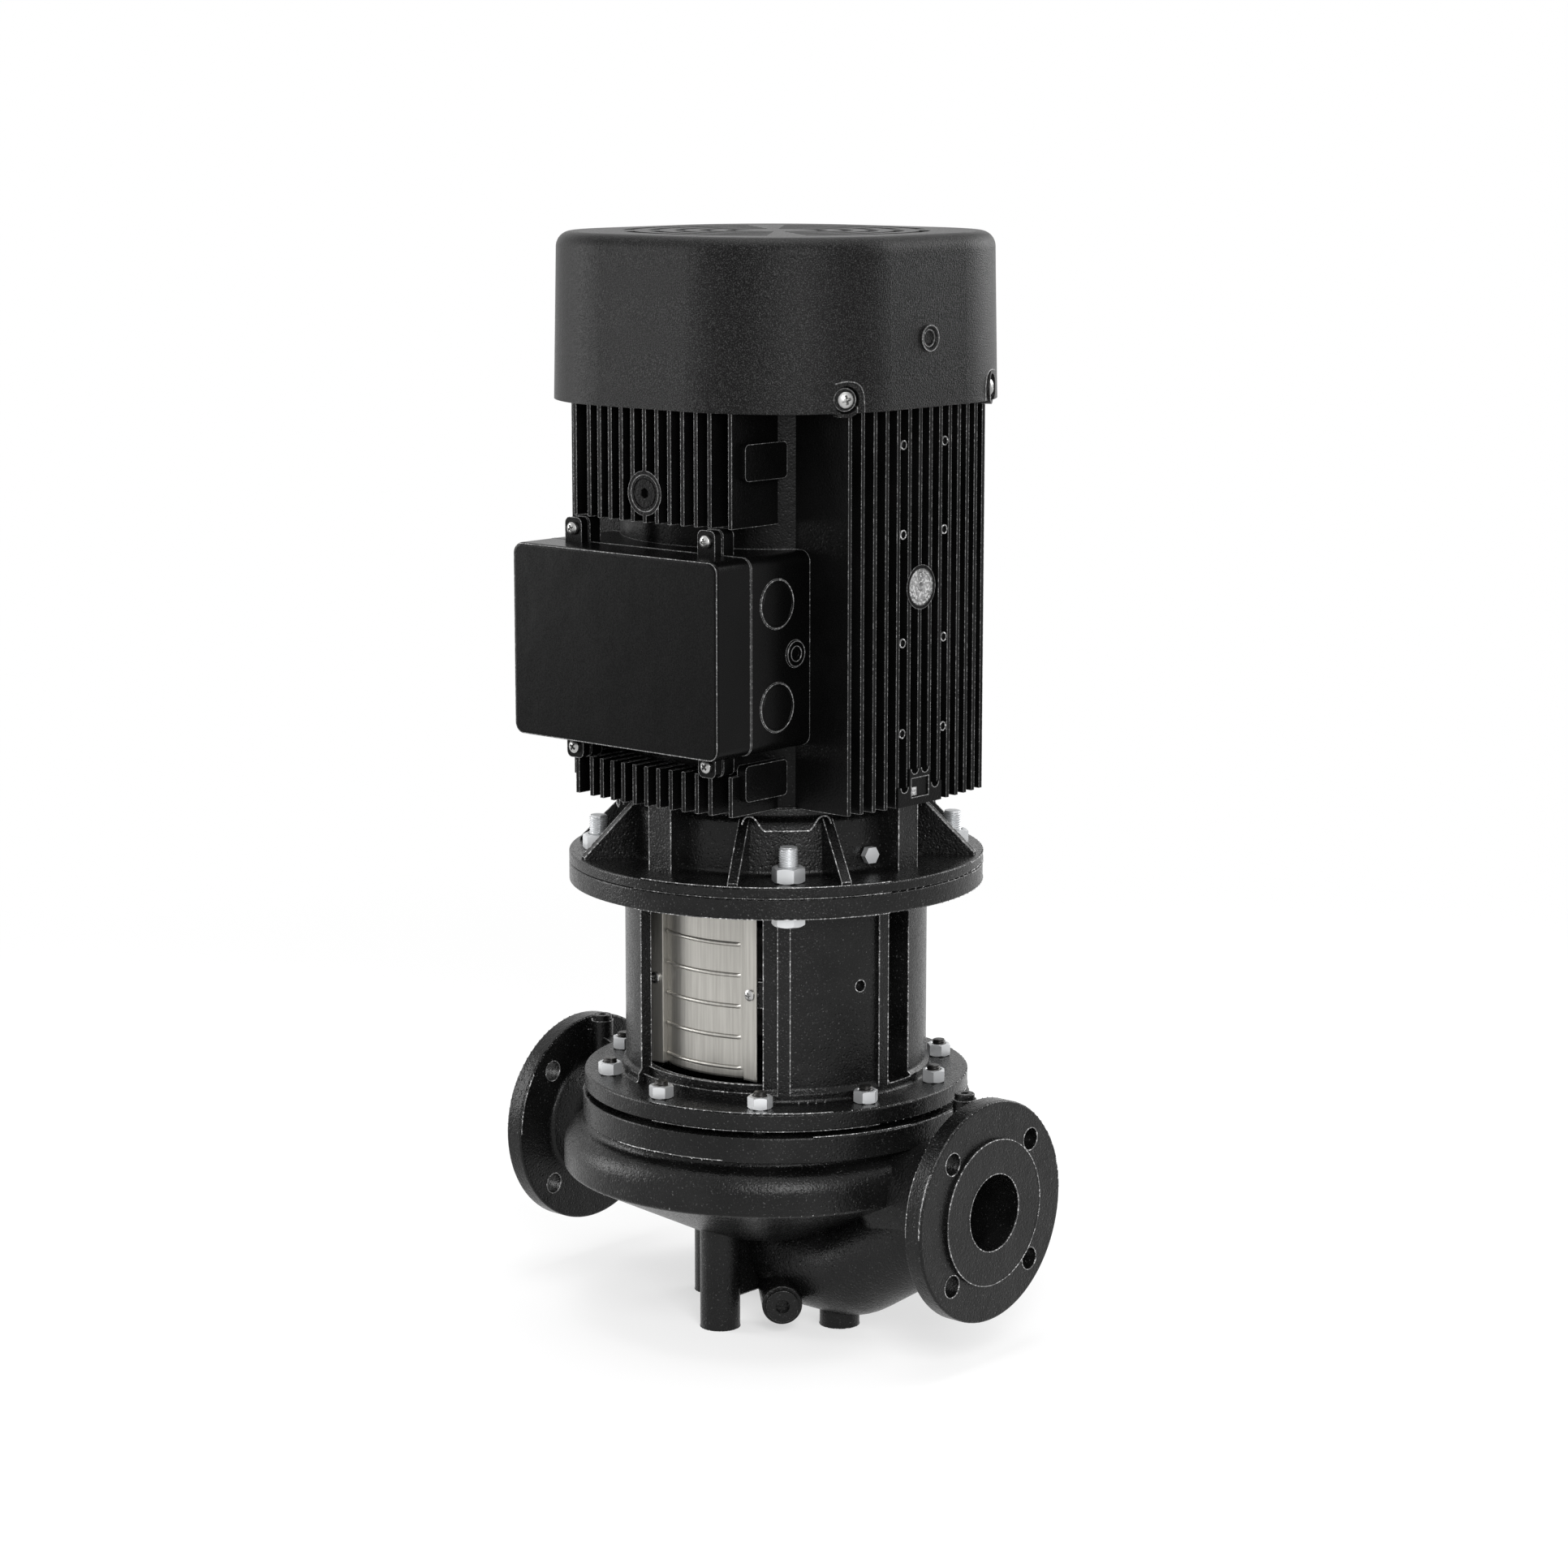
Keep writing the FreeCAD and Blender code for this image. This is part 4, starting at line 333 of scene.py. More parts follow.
def enamelledCopper(name, look):
    # coils of lacquered wire: round strands wound about the shaft, under amber varnish, darker in the gaps
    # between strands as painted shade
    material, tree, shader, place = newFinish(name)
    strands = addNode(tree, "ShaderNodeTexWave", Vector=place, Scale=look["strands"], Detail=1.0,
                      Distortion=look["waver"], wave_type="RINGS", rings_direction="Z").outputs["Fac"]
    tree.links.new(ramp(tree, strands, [look["gap"], look["crown"]]), shader.inputs["Base Color"])
    tree.links.new(spread(tree, strands, look["gapDull"], look["crownDull"]), shader.inputs["Roughness"])
    tree.links.new(raised(tree, [(strands, look["height"], look["share"])]), shader.inputs["Normal"])
    shader.inputs["Metallic"].default_value = look["metal"]
    return material


paints = {
    "castBlack": castLook,
    "frameBlack": frameLook,
    "boxBlack": boxLook,
    "paleDisc": dict(edgeHighlightLook, dark=0.08, light=0.2, paintedGlint=0.42, paintedGlintFrom=0.5, smooth=0.3),
    "castEdge": edgeHighlightLook,
    "fineEdge": dict(edgeHighlightLook, light=0.08, paintedGlint=0.22),
}
plastics = {
    "coverPlastic": coverLook,
    "plugPlastic": dict(coverLook, dark=0.009, light=0.014, tip=0.03, grainHeight=0.0001,
                        pebbleHeight=0.00005, smooth=0.3, dull=0.42),
}
metals = {
    "zincPlate": dict(metalLook, dark=(0.48, 0.49, 0.5), light=(0.68, 0.69, 0.7), smooth=0.32, dull=0.5,
                      fine=800.0, height=0.00006, metal=0.75),
    "screwZinc": dict(metalLook, dark=(0.28, 0.28, 0.275), light=(0.46, 0.46, 0.455), smooth=0.24, dull=0.42,
                      fine=900.0, height=0.00008),
    "darkSteel": dict(metalLook, dark=(0.035, 0.034, 0.033), light=(0.07, 0.068, 0.066), smooth=0.32,
                      dull=0.5, fine=700.0, height=0.00005),
    "brushedSteel": dict(metalLook, dark=(0.34, 0.33, 0.305), light=(0.44, 0.427, 0.398), smooth=0.3,
                         dull=0.44, streak=(26, 26, 1), fine=130.0, height=0.00003, turned=0.35, metal=0.85),
    "groundSteel": dict(metalLook, dark=(0.46, 0.46, 0.46), light=(0.58, 0.58, 0.58), smooth=0.2, dull=0.34,
                        streak=(1, 1, 20), fine=200.0),
    "machinedIron": dict(metalLook, dark=(0.2, 0.2, 0.195), light=(0.32, 0.315, 0.31), smooth=0.34, dull=0.5,
                         streak=(1, 1, 8), fine=350.0, height=0.00005),
    "brass": dict(metalLook, dark=(0.5, 0.3, 0.09), light=(0.66, 0.43, 0.15), smooth=0.24, dull=0.38,
                  streak=(1, 1, 12), fine=300.0),
}
rubbers = {"softRubber": dict(rubberLook, tone=0.012), "hardCarbon": dict(rubberLook, tone=0.02)}
finishes = {}
for makeFinish, looks in ((castPaint, paints), (grainedPlastic, plastics), (bareMetal, metals),
                          (softRubber, rubbers), (enamelledCopper, {"enamelledCopper": copperLook})):
    for name, look in looks.items():
        finishes[name] = makeFinish(name, look)

nodeFinish = {
    "castBlack": "pump_housing motor_stool drive_end_shield fan_end_shield seal_cover drain_plug gauge_plugs",
    "frameBlack": "motor_frame",
    "boxBlack": "terminal_box_base terminal_box_lid",
    "coverPlastic": "fan_cover fan",
    "plugPlastic": "fan_cover_plug cable_entry_plugs cable_blanking_plugs frame_plugs",
    "zincPlate": "housing_nuts guard_screws flange_bolts flange_nuts earth_screw fan_cover_screws lid_screws "
                 "coupling_screws impeller_nut impeller_lock_washer fan_retaining_ring air_vent_screw",
    "darkSteel": "housing_studs coupling_pin",
    "brushedSteel": "front_coupling_guard rear_coupling_guard",
    "groundSteel": "pump_shaft motor_shaft drive_end_bearing_outer_ring drive_end_bearing_inner_ring "
                   "fan_end_bearing_outer_ring fan_end_bearing_inner_ring stator_core rotor_core",
    "machinedIron": "impeller front_coupling_half rear_coupling_half",
    "brass": "housing_wear_ring terminal_posts",
    "enamelledCopper": "stator_windings",
    "softRubber": "cover_gasket terminal_box_gasket seal_bellows shaft_seal_ring",
    "hardCarbon": "seal_seat seal_ring terminal_block",
}
finishOf = {node: kind for kind, nodes in nodeFinish.items() for node in nodes.split()}
for node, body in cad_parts.items():
    body.data.materials.clear()
    body.data.materials.append(finishes[finishOf[node]])
print("finishes are on", len(finishOf), "nodes")

# Surfaces: every new piece is one or more grids of points worked out as whole arrays
joinWithin, flatWithin = 2e-6, 1e-6    # metres, for doubled points and for faces without area


def gridFaces(rows, columns, offset, closed):
    # quads between neighbouring grid points; closed joins the last column to the first
    lines = np.arange(rows - 1)[:, None]
    steps = np.arange(columns if closed else columns - 1)[None, :]
    after = (steps + 1) % columns
    return np.stack([lines * columns + steps, lines * columns + after, (lines + 1) * columns + after,
                     (lines + 1) * columns + steps], -1).reshape(-1, 4) + offset


def makePiece(name, grids, finish, body, replaced=(), smooth=35):
    # grids are (points, closed) pairs, or threes with the number of a finish; smooth is in degrees
    points, faces, kinds, offset = [], [], [], 0
    for grid, closed, *kind in grids:
        rows, columns = grid.shape[:2]
        points.append(grid.reshape(-1, 3))
        faces.append(gridFaces(rows, columns, offset, closed))
        kinds.append(np.full(len(faces[-1]), kind[0] if kind else 0))
        offset += rows * columns
    mesh = bpy.data.meshes.new(name)
    mesh.from_pydata(np.concatenate(points).tolist(), [], np.concatenate(faces).tolist())
    for each in finish.split():
        mesh.materials.append(finishes[each])
    mesh.polygons.foreach_set("material_index", np.concatenate(kinds).astype(np.int32))
    work = bmesh.new()
    work.from_mesh(mesh)
    bmesh.ops.remove_doubles(work, verts=work.verts, dist=joinWithin)
    bmesh.ops.dissolve_degenerate(work, edges=work.edges, dist=flatWithin)
    bmesh.ops.recalc_face_normals(work, faces=work.faces)
    work.to_mesh(mesh)
    work.free()
    mesh.shade_smooth()
    mesh.set_sharp_from_angle(angle=math.radians(smooth))
    piece = bpy.data.objects.new(name, mesh)
    scene.collection.objects.link(piece)
    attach(piece, body)
    if replaced:
        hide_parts(*replaced)
    return piece


def turnedTo(points, spot, outward):
    # stands a shape, drawn about its own upright axis, on a point with that axis along outward
    axis = np.array(outward, float) / np.linalg.norm(outward)
    nearlyUpright = abs(axis[2]) >= 0.99
    side = np.array((1.0, 0, 0)) if nearlyUpright else np.cross((0, 0, 1), axis)
    side = side / np.linalg.norm(side)
    return points @ np.stack([side, np.cross(axis, side), axis]) + np.array(spot)


def rayAt(turn):
    # level direction from the shaft, by an angle in radians from the front
    return np.array([math.sin(turn), -math.cos(turn), 0])


def rayFrom(turn):
    return rayAt(math.radians(turn))


def spinBy(turn):
    # turns points about the upright axis
    return np.array([[math.cos(turn), math.sin(turn), 0], [-math.sin(turn), math.cos(turn), 0], [0, 0, 1]])


def ringRow(turn, reach, level):
    # a row of points round the upright axis; reach and level may change with the direction
    reach = reach + 0 * turn
    return np.stack([reach * np.cos(turn), reach * np.sin(turn), level + 0 * turn], -1)


def latheGrid(profile, count=48):
    # a profile of (radius, height) swept about the upright axis
    profile, turn = np.array(profile, float), angles(count)
    return np.stack([profile[:, :1] * np.cos(turn), profile[:, :1] * np.sin(turn),
                     np.repeat(profile[:, 1:], count, 1)], -1)


def hexRadius(turn, width):
    # distance from the centre to the side of a hexagon, by direction
    return width / 2 / np.cos((turn + np.pi / 6) % (np.pi / 3) - np.pi / 6)


def hexNutGrid(width, height, bore, count=72, flatShare=0.475, chamfer=30, mouth=0.0008, lead=0.001):
    # side of a hexagon between two cones that take its corners off, and a bore with a countersunk mouth
    turn = angles(count)
    reach, flat = hexRadius(turn, width), width * flatShare
    drop = (reach - flat) * math.tan(math.radians(chamfer))
    rows = [(bore, 0), (flat, 0), (reach, drop), (reach, height - drop), (flat, height),
            (bore + mouth, height), (bore, height - lead), (bore, 0)]
    return np.stack([ringRow(turn, *row) for row in rows])


def threadGrid(radius, pitch, low, high, perTurn=6, count=30, depth=0.62, filled=0.9, coned=0.9,
               coneCut=0.14):
    # a rod whose radius follows a wave that climbs one pitch each turn; depth and coned are in pitches
    levels = np.linspace(low, high, max(4, int((high - low) / pitch * perTurn) + 1))[:, None]
    turn = angles(count)[None, :]
    wave = np.abs(((levels / pitch - turn / (2 * np.pi)) % 1) * 2 - 1)
    coneFoot = high - pitch * coned
    cone = np.clip(1 - (levels - coneFoot) / (pitch * coned), 0, 1) * coneCut + (1 - coneCut)
    reach = (radius - depth * pitch * (1 - wave) * filled) * np.where(levels > coneFoot, cone, 1)
    body = np.stack([reach * np.cos(turn), reach * np.sin(turn), levels + 0 * turn], -1)
    middle = np.array([0.0, 0.0, 1.0])
    return np.concatenate([body[:1] * middle, body, body[-1:] * middle])


# Cross-shaped recess: sizes in radii of the head, depths in its height, rings as distances from the middle
crossHead = {"slot": 0.16, "slotSlope": 0.07, "reach": 0.58, "reachSlope": 0.1, "sink": 0.72, "fall": 0.45,
             "fallPower": 2.6, "rings": [*np.linspace(0, 0.9, 16), 0.97, 1.0, 1.0]}


def crossHeadGrid(radius, height, look, count=48):
    # a domed screw head, as height over the distance and direction from its middle
    rho = np.array(look["rings"])[:, None]
    turn = angles(count)[None, :]
    x, y = rho * np.cos(turn), rho * np.sin(turn)
    dome = height * (1 - look["fall"] * rho ** look["fallPower"])
    near = np.minimum(np.abs(x), np.abs(y))
    far = np.maximum(np.abs(x), np.abs(y))
    inside = (np.clip((look["slot"] - near) / look["slotSlope"], 0, 1)
              * np.clip((look["reach"] - far) / look["reachSlope"], 0, 1))
    level = dome - inside * height * look["sink"]
    level[-1] = 0
    return np.stack([radius * x, radius * y, level], -1)[::-1]


def barGrid(path, radius, guide, count=8):
    # a round bar swept along a path and pinched shut at both ends; the path never runs along the guide
    path = np.array(path, float)
    along = np.gradient(path, axis=0)
    side = np.cross(along, guide)
    side = side / np.linalg.norm(side, axis=1)[:, None]
    over = np.cross(side, along / np.linalg.norm(along, axis=1)[:, None])
    turn = angles(count)[None, :, None]
    skin = path[:, None] + radius * (side[:, None] * np.cos(turn) + over[:, None] * np.sin(turn))
    shut = [np.repeat(row[None, None], count, 1) for row in (path[0], path[-1])]
    return np.concatenate([shut[0], skin, shut[1]])


def ringGrid(reach, half, level, spot, outward, points=9, count=64):
    # a thin round bead lying in a circle
    section = [(reach + half * math.cos(turn), level + half * math.sin(turn))
               for turn in np.linspace(0, 2 * np.pi, points)]
    return turnedTo(latheGrid(section, count), spot, outward)


def softPath(points, rounds=3, share=0.25):
    # cuts the corners off a path again and again, so that it bends softly; its ends stay
    path = np.array(points, float)
    for _ in range(rounds):
        near = path[:-1] * (1 - share) + path[1:] * share
        far = path[:-1] * share + path[1:] * (1 - share)
        path = np.concatenate([path[:1], np.stack([near, far], 1).reshape(-1, 3), path[-1:]])
    return path


# Fasteners: ten studs with nuts round the housing's rim, four bolts with nuts through the motor flange
fasteners = {"play": 0.00005, "rimStuds": 10, "rimCircle": 0.144, "rimLevel": 0.215,
             "rimNut": (0.018, 0.0105), "rimStud": 0.006, "rimPitch": 0.00175, "rimStudFoot": -0.0395,
             "rimStudTop": 0.229, "rimTwist": 3.7, "flangeBolts": 4, "flangeFirst": 45, "flangeCircle": 0.15,
             "flangeNutLevel": 0.405, "flangeNut": (0.024, 0.013), "flangeStud": 0.008,
             "flangePitch": 0.002, "flangeEnd": 0.434, "headLevel": 0.379, "headHeight": 0.01,
             "headBore": 0.0001}


def makeFasteners(look):
    nuts, studs, bigNuts, bolts = [], [], [], []
    width, height = look["rimNut"]
    for turn in angles(look["rimStuds"]):
        spot = rayAt(turn) * look["rimCircle"] + (0, 0, look["rimLevel"])
        nut = hexNutGrid(width, height, look["rimStud"] + look["play"])
        nuts.append((nut @ spinBy(turn * look["rimTwist"]) + spot, True))
        rod = threadGrid(look["rimStud"] - look["play"], look["rimPitch"], look["rimStudFoot"],
                         look["rimStudTop"] - look["rimLevel"])
        studs.append((rod + spot, True))
    width, height = look["flangeNut"]
    nutLevel, headLevel = (0, 0, look["flangeNutLevel"]), (0, 0, look["headLevel"])
    for turn in angles(look["flangeBolts"], math.radians(look["flangeFirst"])):
        spot = rayAt(turn) * look["flangeCircle"]
        bigNuts.append((hexNutGrid(width, height, look["flangeStud"] + look["play"]) + spot + nutLevel, True))
        rod = threadGrid(look["flangeStud"], look["flangePitch"], 0, look["flangeEnd"] - look["headLevel"],
                         perTurn=7)
        bolts.append((rod + spot + headLevel, True))
        head = hexNutGrid(width, look["headHeight"], look["headBore"]) * np.array([1, 1, -1])
        bolts.append((head + spot + headLevel, True))
    makePiece("rimNuts", nuts, "zincPlate", "pump", ("housing_nuts",))
    makePiece("rimStuds", studs, "darkSteel", "pump", ("housing_studs",))
    makePiece("flangeNuts", bigNuts, "zincPlate", "pump", ("flange_nuts",))
    makePiece("flangeBolts", bolts, "zincPlate", "pump", ("flange_bolts",))


makeFasteners(fasteners)
print("fasteners are made")

# Screws with a cross recess: directions in degrees from the front, places across them, and in radians the
# twist from one to the next and that of the first
screws = {"lid": {"node": "lid_screws", "turns": (0,), "across": (-0.073, 0.073), "levels": (0.684, 0.504),
                  "seat": 0.167, "radius": 0.00525, "height": 0.004, "shank": 0.0025, "depth": 0.018,
                  "twist": (0.7, 0.3)},
          "cover": {"node": "fan_cover_screws", "turns": (59, 121, 239, 301), "across": (0,),
                    "levels": (0.7955,), "seat": 0.1765, "radius": 0.0065, "height": 0.005, "shank": 0.003,
                    "depth": 0.0415, "twist": (0.9, 0.2)},
          "guard": {"node": "guard_screws", "turns": (2, 182), "across": (0.0512, -0.0512),
                    "levels": (0.301,), "seat": 0.0966, "radius": 0.00475, "height": 0.003,
                    "shank": 0.00245, "depth": 0.0088, "twist": (0.9, 0.2)}}


def screwGrids(look, spot, outward, twist, tuck=0.0001, count=48):
    # head, and a plain shank that runs on into its hole
    depth, neck = look["depth"], look["shank"]
    shank = latheGrid([(0, -depth), (neck, -depth), (neck, tuck), (look["radius"], 0)], count)
    head = crossHeadGrid(look["radius"], look["height"], crossHead, count)
    return [(turnedTo(shape @ spinBy(twist), spot, outward), True) for shape in (head, shank)]


def makeScrews():
    for name, look in screws.items():
        grids = []
        places = [(turn, across, level) for turn in look["turns"] for across in look["across"]
                  for level in look["levels"]]
        for number, (turn, across, level) in enumerate(places):
            spot = rayFrom(turn) * look["seat"] + rayFrom(turn + 90) * across + (0, 0, level)
            grids += screwGrids(look, spot, rayFrom(turn), number * look["twist"][0] + look["twist"][1])
        makePiece(name + "Screws", grids, "screwZinc", "pump", (look["node"],))


makeScrews()

# Sheet metal guards: two flat strips on one plane, and between them a curved panel, set back, with five beads
guards = {"turn": 2, "low": 0.228, "high": 0.378, "margin": 0.002, "plane": 0.096, "half": 0.058,
          "inner": 0.0445, "wall": 0.0009, "clear": 0.0012, "radius": 0.1005, "thickness": 0.0012,
          "beads": [0.2365 + 0.0262 * k for k in range(5)], "beadHeight": 0.0016, "beadHalf": 0.0015,
          "beadPower": 0.8, "beadSpan": 1.8, "beadEnd": 0.0056, "beadFade": 0.0016, "beadStart": 0.0008,
          "stripColumns": 6, "stepFrom": 0.1, "stepColumns": 8, "panelColumns": 72, "rows": 22,
          "beadRows": 19}


def guardGrid(look, halfTurn):
    # distance from the shaft's plane by place across and height: flat, a steep smooth step, then an arc
    inner, wall, half = look["inner"], look["wall"], look["half"]
    panelHalf = inner - wall - look["clear"]
    middle = np.linspace(-panelHalf, panelHalf, look["panelColumns"])
    bend = inner - wall * np.linspace(1, look["stepFrom"], look["stepColumns"])
    strip = np.linspace(inner, half, look["stripColumns"])
    across = np.concatenate([-strip[::-1], -bend[::-1], middle, bend, strip])[None, :]
    low, high = look["low"], look["high"]
    levels = [low, high] + list(np.linspace(low + look["margin"], high - look["margin"], look["rows"]))
    reach = np.linspace(-look["beadSpan"], look["beadSpan"], look["beadRows"])
    for bead in look["beads"]:
        levels += list(bead + look["beadHalf"] * reach)
    levels = np.unique(np.round([level for level in levels if low <= level <= high], decimals=6))[:, None]
    step = np.clip((inner - np.abs(across)) / wall, 0, 1)
    panel = step * step * (3 - 2 * step)
    arc = np.sqrt(look["radius"] ** 2 - np.minimum(np.abs(across), inner) ** 2)
    rise = 0
    for bead in look["beads"]:
        crown = np.clip(1 - ((levels - bead) / look["beadHalf"]) ** 2, 0, 1) ** look["beadPower"]
        long = (np.clip((inner - wall - look["beadEnd"] - across) / look["beadFade"], 0, 1)
                * np.clip((across + inner - wall) / look["beadStart"], 0, 1))
        rise = rise + look["beadHeight"] * crown * np.sqrt(long)
    away = look["plane"] + (arc - look["plane"]) * panel + rise
    ahead = rayFrom(look["turn"] + halfTurn)
    side = rayFrom(look["turn"] + halfTurn + 90)
    return (away[..., None] * ahead + (across + 0 * levels)[..., None] * side
            + levels[..., None] * np.array([0, 0, 1.0]))


def makeGuards(look):
    for name, node, halfTurn in (("frontGuard", "front_coupling_guard", 0),
                                 ("rearGuard", "rear_coupling_guard", 180)):
        sheet = [(guardGrid(look, halfTurn), False)]
        piece = makePiece(name, sheet, "brushedSteel", "pump", (node,), smooth=50)
        wall = piece.modifiers.new("sheet", "SOLIDIFY")
        wall.thickness, wall.offset = look["thickness"], 0


makeGuards(guards)
print("screws and guards are made")

# Plugs: discs with a ring groove and a hexagonal socket; rims are beads by radius, half width and height, in
# a pale paint that is a painted highlight
plugs = {"frame": {"radius": 0.0149, "height": 0.006, "depth": 0.0, "ring": 0.0118, "half": 0.0006,
                   "rise": -0.0007, "key": 0.0072, "sink": 0.004, "rims": ((0.0147, 0.0003, 0.0058),),
                   "side": ((0.154, -0.005, 0.64), (1, 0, 0)), "front": ((0, -0.154, 0.717), (0, -1, 0))},
         "entry": {"radius": 0.0197, "height": 0.0035, "depth": 0.0004, "ring": 0.0172, "half": 0.0004,
                   "rise": -0.0002, "key": 0.0012, "sink": 0.0003, "rims": ((0.0193, 0.0005, 0.0034),),
                   "side": 0.1093, "setback": 0.127, "levels": (0.634, 0.551)},
         "blank": {"radius": 0.0107, "height": 0.003, "depth": 0.0004, "ring": 0.0076, "half": 0.0005,
                   "rise": -0.0006, "key": 0.005, "sink": 0.0014,
                   "rims": ((0.0102, 0.0004, 0.003), (0.0062, 0.0004, 0.003)),
                   "side": 0.1105, "setback": 0.105, "levels": (0.592,)},
         "cover": {"profile": [(0, 0), (0.011, 0), (0.011, 0.0042), (0.0104, 0.005), (0.0094, 0.0052),
                               (0.0086, 0.0046), (0.0082, 0.0034), (0.0056, 0.0032), (0.0052, 0.0024),
                               (0, 0.0022)],
                   "rims": ((0.0103, 0.0005, 0.005), (0.0068, 0.0004, 0.0034)), "sides": 64,
                   "spot": ((0.1593, 0, 0.84), (1, 0, 0))},
         "gauge": {"radius": 0.0083, "height": 0.005, "depth": 0.012, "ring": 0.0066, "half": 0.0004,
                   "rise": -0.0004, "key": 0.0062, "sink": 0.0034, "side": 0.2055, "level": 0.2205}}


def plugGrid(look, spot, outward, count=64, chamfer=0.0006, floor=0.5, mouth=1.1, mouthDepth=0.0003):
    # floor is the groove's flat share, and the socket's mouth is that much wider than the socket
    turn = angles(count)
    edge, height, ring, half = look["radius"], look["height"], look["ring"], look["half"]
    groove, bottom, socket = height + look["rise"], height - look["sink"], hexRadius(turn, look["key"])
    rows = [(0, -look["depth"]), (edge, -look["depth"]), (edge, height - chamfer), (edge - chamfer, height),
            (ring + half, height), (ring + half * floor, groove), (ring - half * floor, groove),
            (ring - half, height), (socket * mouth, height), (socket, height - mouthDepth), (socket, bottom),
            (0, bottom)]
    return turnedTo(np.stack([ringRow(turn, *row) for row in rows]), spot, outward)


def rimGrids(look, spots, kind=1):
    return [(ringGrid(*rim, *spot), True, kind) for spot in spots for rim in look["rims"]]


def makePlugs(look):
    plug, cover, gauge = look["frame"], look["cover"], look["gauge"]
    grids = [(plugGrid(plug, *plug["side"]), True), (plugGrid(plug, *plug["front"]), True, 1)]
    grids += rimGrids(plug, [plug["front"]], 2)
    makePiece("framePlugs", grids, "paleDisc frameBlack fineEdge", "pump", ("frame_plugs",))
    for name, plug, node in (("entryPlugs", look["entry"], "cable_entry_plugs"),
                             ("blankPlugs", look["blank"], "cable_blanking_plugs")):
        spots = [((side * plug["side"], -plug["setback"], level), (side, 0, 0)) for side in (-1, 1)
                 for level in plug["levels"]]
        grids = [(plugGrid(plug, *spot), True) for spot in spots]
        makePiece(name, grids + rimGrids(plug, spots), "boxBlack fineEdge", "pump", (node,))
    grids = [(turnedTo(latheGrid(cover["profile"], cover["sides"]), *cover["spot"]), True)]
    grids += rimGrids(cover, [cover["spot"]])
    makePiece("coverPlug", grids, "coverPlastic fineEdge", "pump", ("fan_cover_plug",))
    spots = [((side * gauge["side"], 0, gauge["level"]), (0, 0, 1)) for side in (-1, 1)]
    grids = [(plugGrid(gauge, *spot), True) for spot in spots]
    makePiece("gaugePlugs", grids, "castBlack", "pump", ("gauge_plugs",))


makePlugs(plugs)

# Round ejector stubs between the side fins, with a cupped end and a bead round it, whose pale paint is a
# painted highlight
stubs = {"levels": (0.756, 0.684, 0.596, 0.522), "across": 0.0262, "radius": 0.0042, "root": 0.122,
         "tip": 0.1586, "chamfer": 0.0005, "cupMouth": 0.62, "cupFloor": 0.5, "cupDepth": 0.0012,
         "cupMiddle": 0.0014, "rimInset": 0.0008, "rimHalf": 0.0006, "rimDrop": 0.0002, "sides": 24}


def makeStubs(look):
    radius, long, chamfer = look["radius"], look["tip"] - look["root"], look["chamfer"]
    profile = [(0, 0), (radius, 0), (radius, long - chamfer), (radius - chamfer, long),
               (radius * look["cupMouth"], long), (radius * look["cupFloor"], long - look["cupDepth"]),
               (0, long - look["cupMiddle"])]
    rim = (radius - look["rimInset"], look["rimHalf"], long - look["rimDrop"])
    spots = [((side * look["root"], side * across, level), (side, 0, 0)) for side in (-1, 1)
             for across in (-look["across"], look["across"]) for level in look["levels"]]
    grids = [(turnedTo(latheGrid(profile, look["sides"]), *spot), True) for spot in spots]
    grids += [(ringGrid(*rim, *spot), True, 1) for spot in spots]
    makePiece("finStubs", grids, "frameBlack castEdge", "pump")


makeStubs(stubs)

# The foot of the middle fins, with its pocket, the pale square in that and the scooped tops
feet = {"pitch": 0.01308, "centre": -0.00654, "fin": 0.0034, "face": 0.1615, "back": 0.124, "half": 2.13,
        "low": 0.4622, "high": 0.4935, "columns": 121, "rows": 24, "outerScoop": 0.4735, "innerScoop": 0.4875,
        "pocket": (0.4685, 0.4845), "pocketHalf": 0.0112, "pocketDepth": 0.0012,
        "pocketColumns": (-0.0002, 0.0, 0.0003), "pocketStep": 0.0003, "pocketEase": 0.0001,
        "gaps": (-1.5, -0.5, 0.5, 1.5), "lip": 0.0004, "lipPoints": 25, "lipShare": 0.999,
        "lipGuide": (1.0, 0.01, 0), "square": (-0.0072, 0.4735), "squareHalf": 0.0034, "squareRise": 0.0008}


def scoopTop(look, across):
    # the gap between two fins ends in a half round; the fins beside it run on as high as its ends
    place = (across - look["centre"]) / look["pitch"]
    inGap = (place % 1 - 0.5) * look["pitch"] / (look["pitch"] - look["fin"]) * 2
    radius = (look["pitch"] - look["fin"]) / 2
    bottom = np.where(np.abs(place) < 1, look["innerScoop"], look["outerScoop"])
    return bottom + radius * (1 - np.sqrt(np.clip(1 - inGap ** 2, 0, 1)))


def footSheet(look):
    # the face with its pocket, folded back to the roots of the fins and shut at both sides
    centre, half, step, (low, high) = look["centre"], look["pocketHalf"], look["pocketStep"], look["pocket"]
    columns = look["pitch"] * np.linspace(-look["half"], look["half"], look["columns"])
    across = np.concatenate([centre + columns,
                             centre + np.outer((-1, 1), half + np.array(look["pocketColumns"])).ravel()])
    across = np.sort(across)[None, :]
    levels = [*np.linspace(look["low"], look["high"], look["rows"]), low, low + step, high, high + step]
    levels = np.minimum(np.sort(levels)[:, None], scoopTop(look, across))
    inside = ((np.abs(across - centre) < half) & (levels > low + look["pocketEase"])
              & (levels < high + look["pocketEase"]))
    face = np.stack([look["face"] - look["pocketDepth"] * inside, across + 0 * levels, levels], -1)
    low, high = (np.stack([look["back"] + 0 * row[:, 0], row[:, 1], row[:, 2]], -1)[None]
                 for row in (face[0], face[-1]))
    sheet = np.concatenate([low, face, high, low])
    ends = [np.repeat(sheet[:, [place]].mean(0)[None], len(sheet), 0) for place in (0, -1)]
    return np.concatenate([ends[0], sheet, ends[1]], 1)


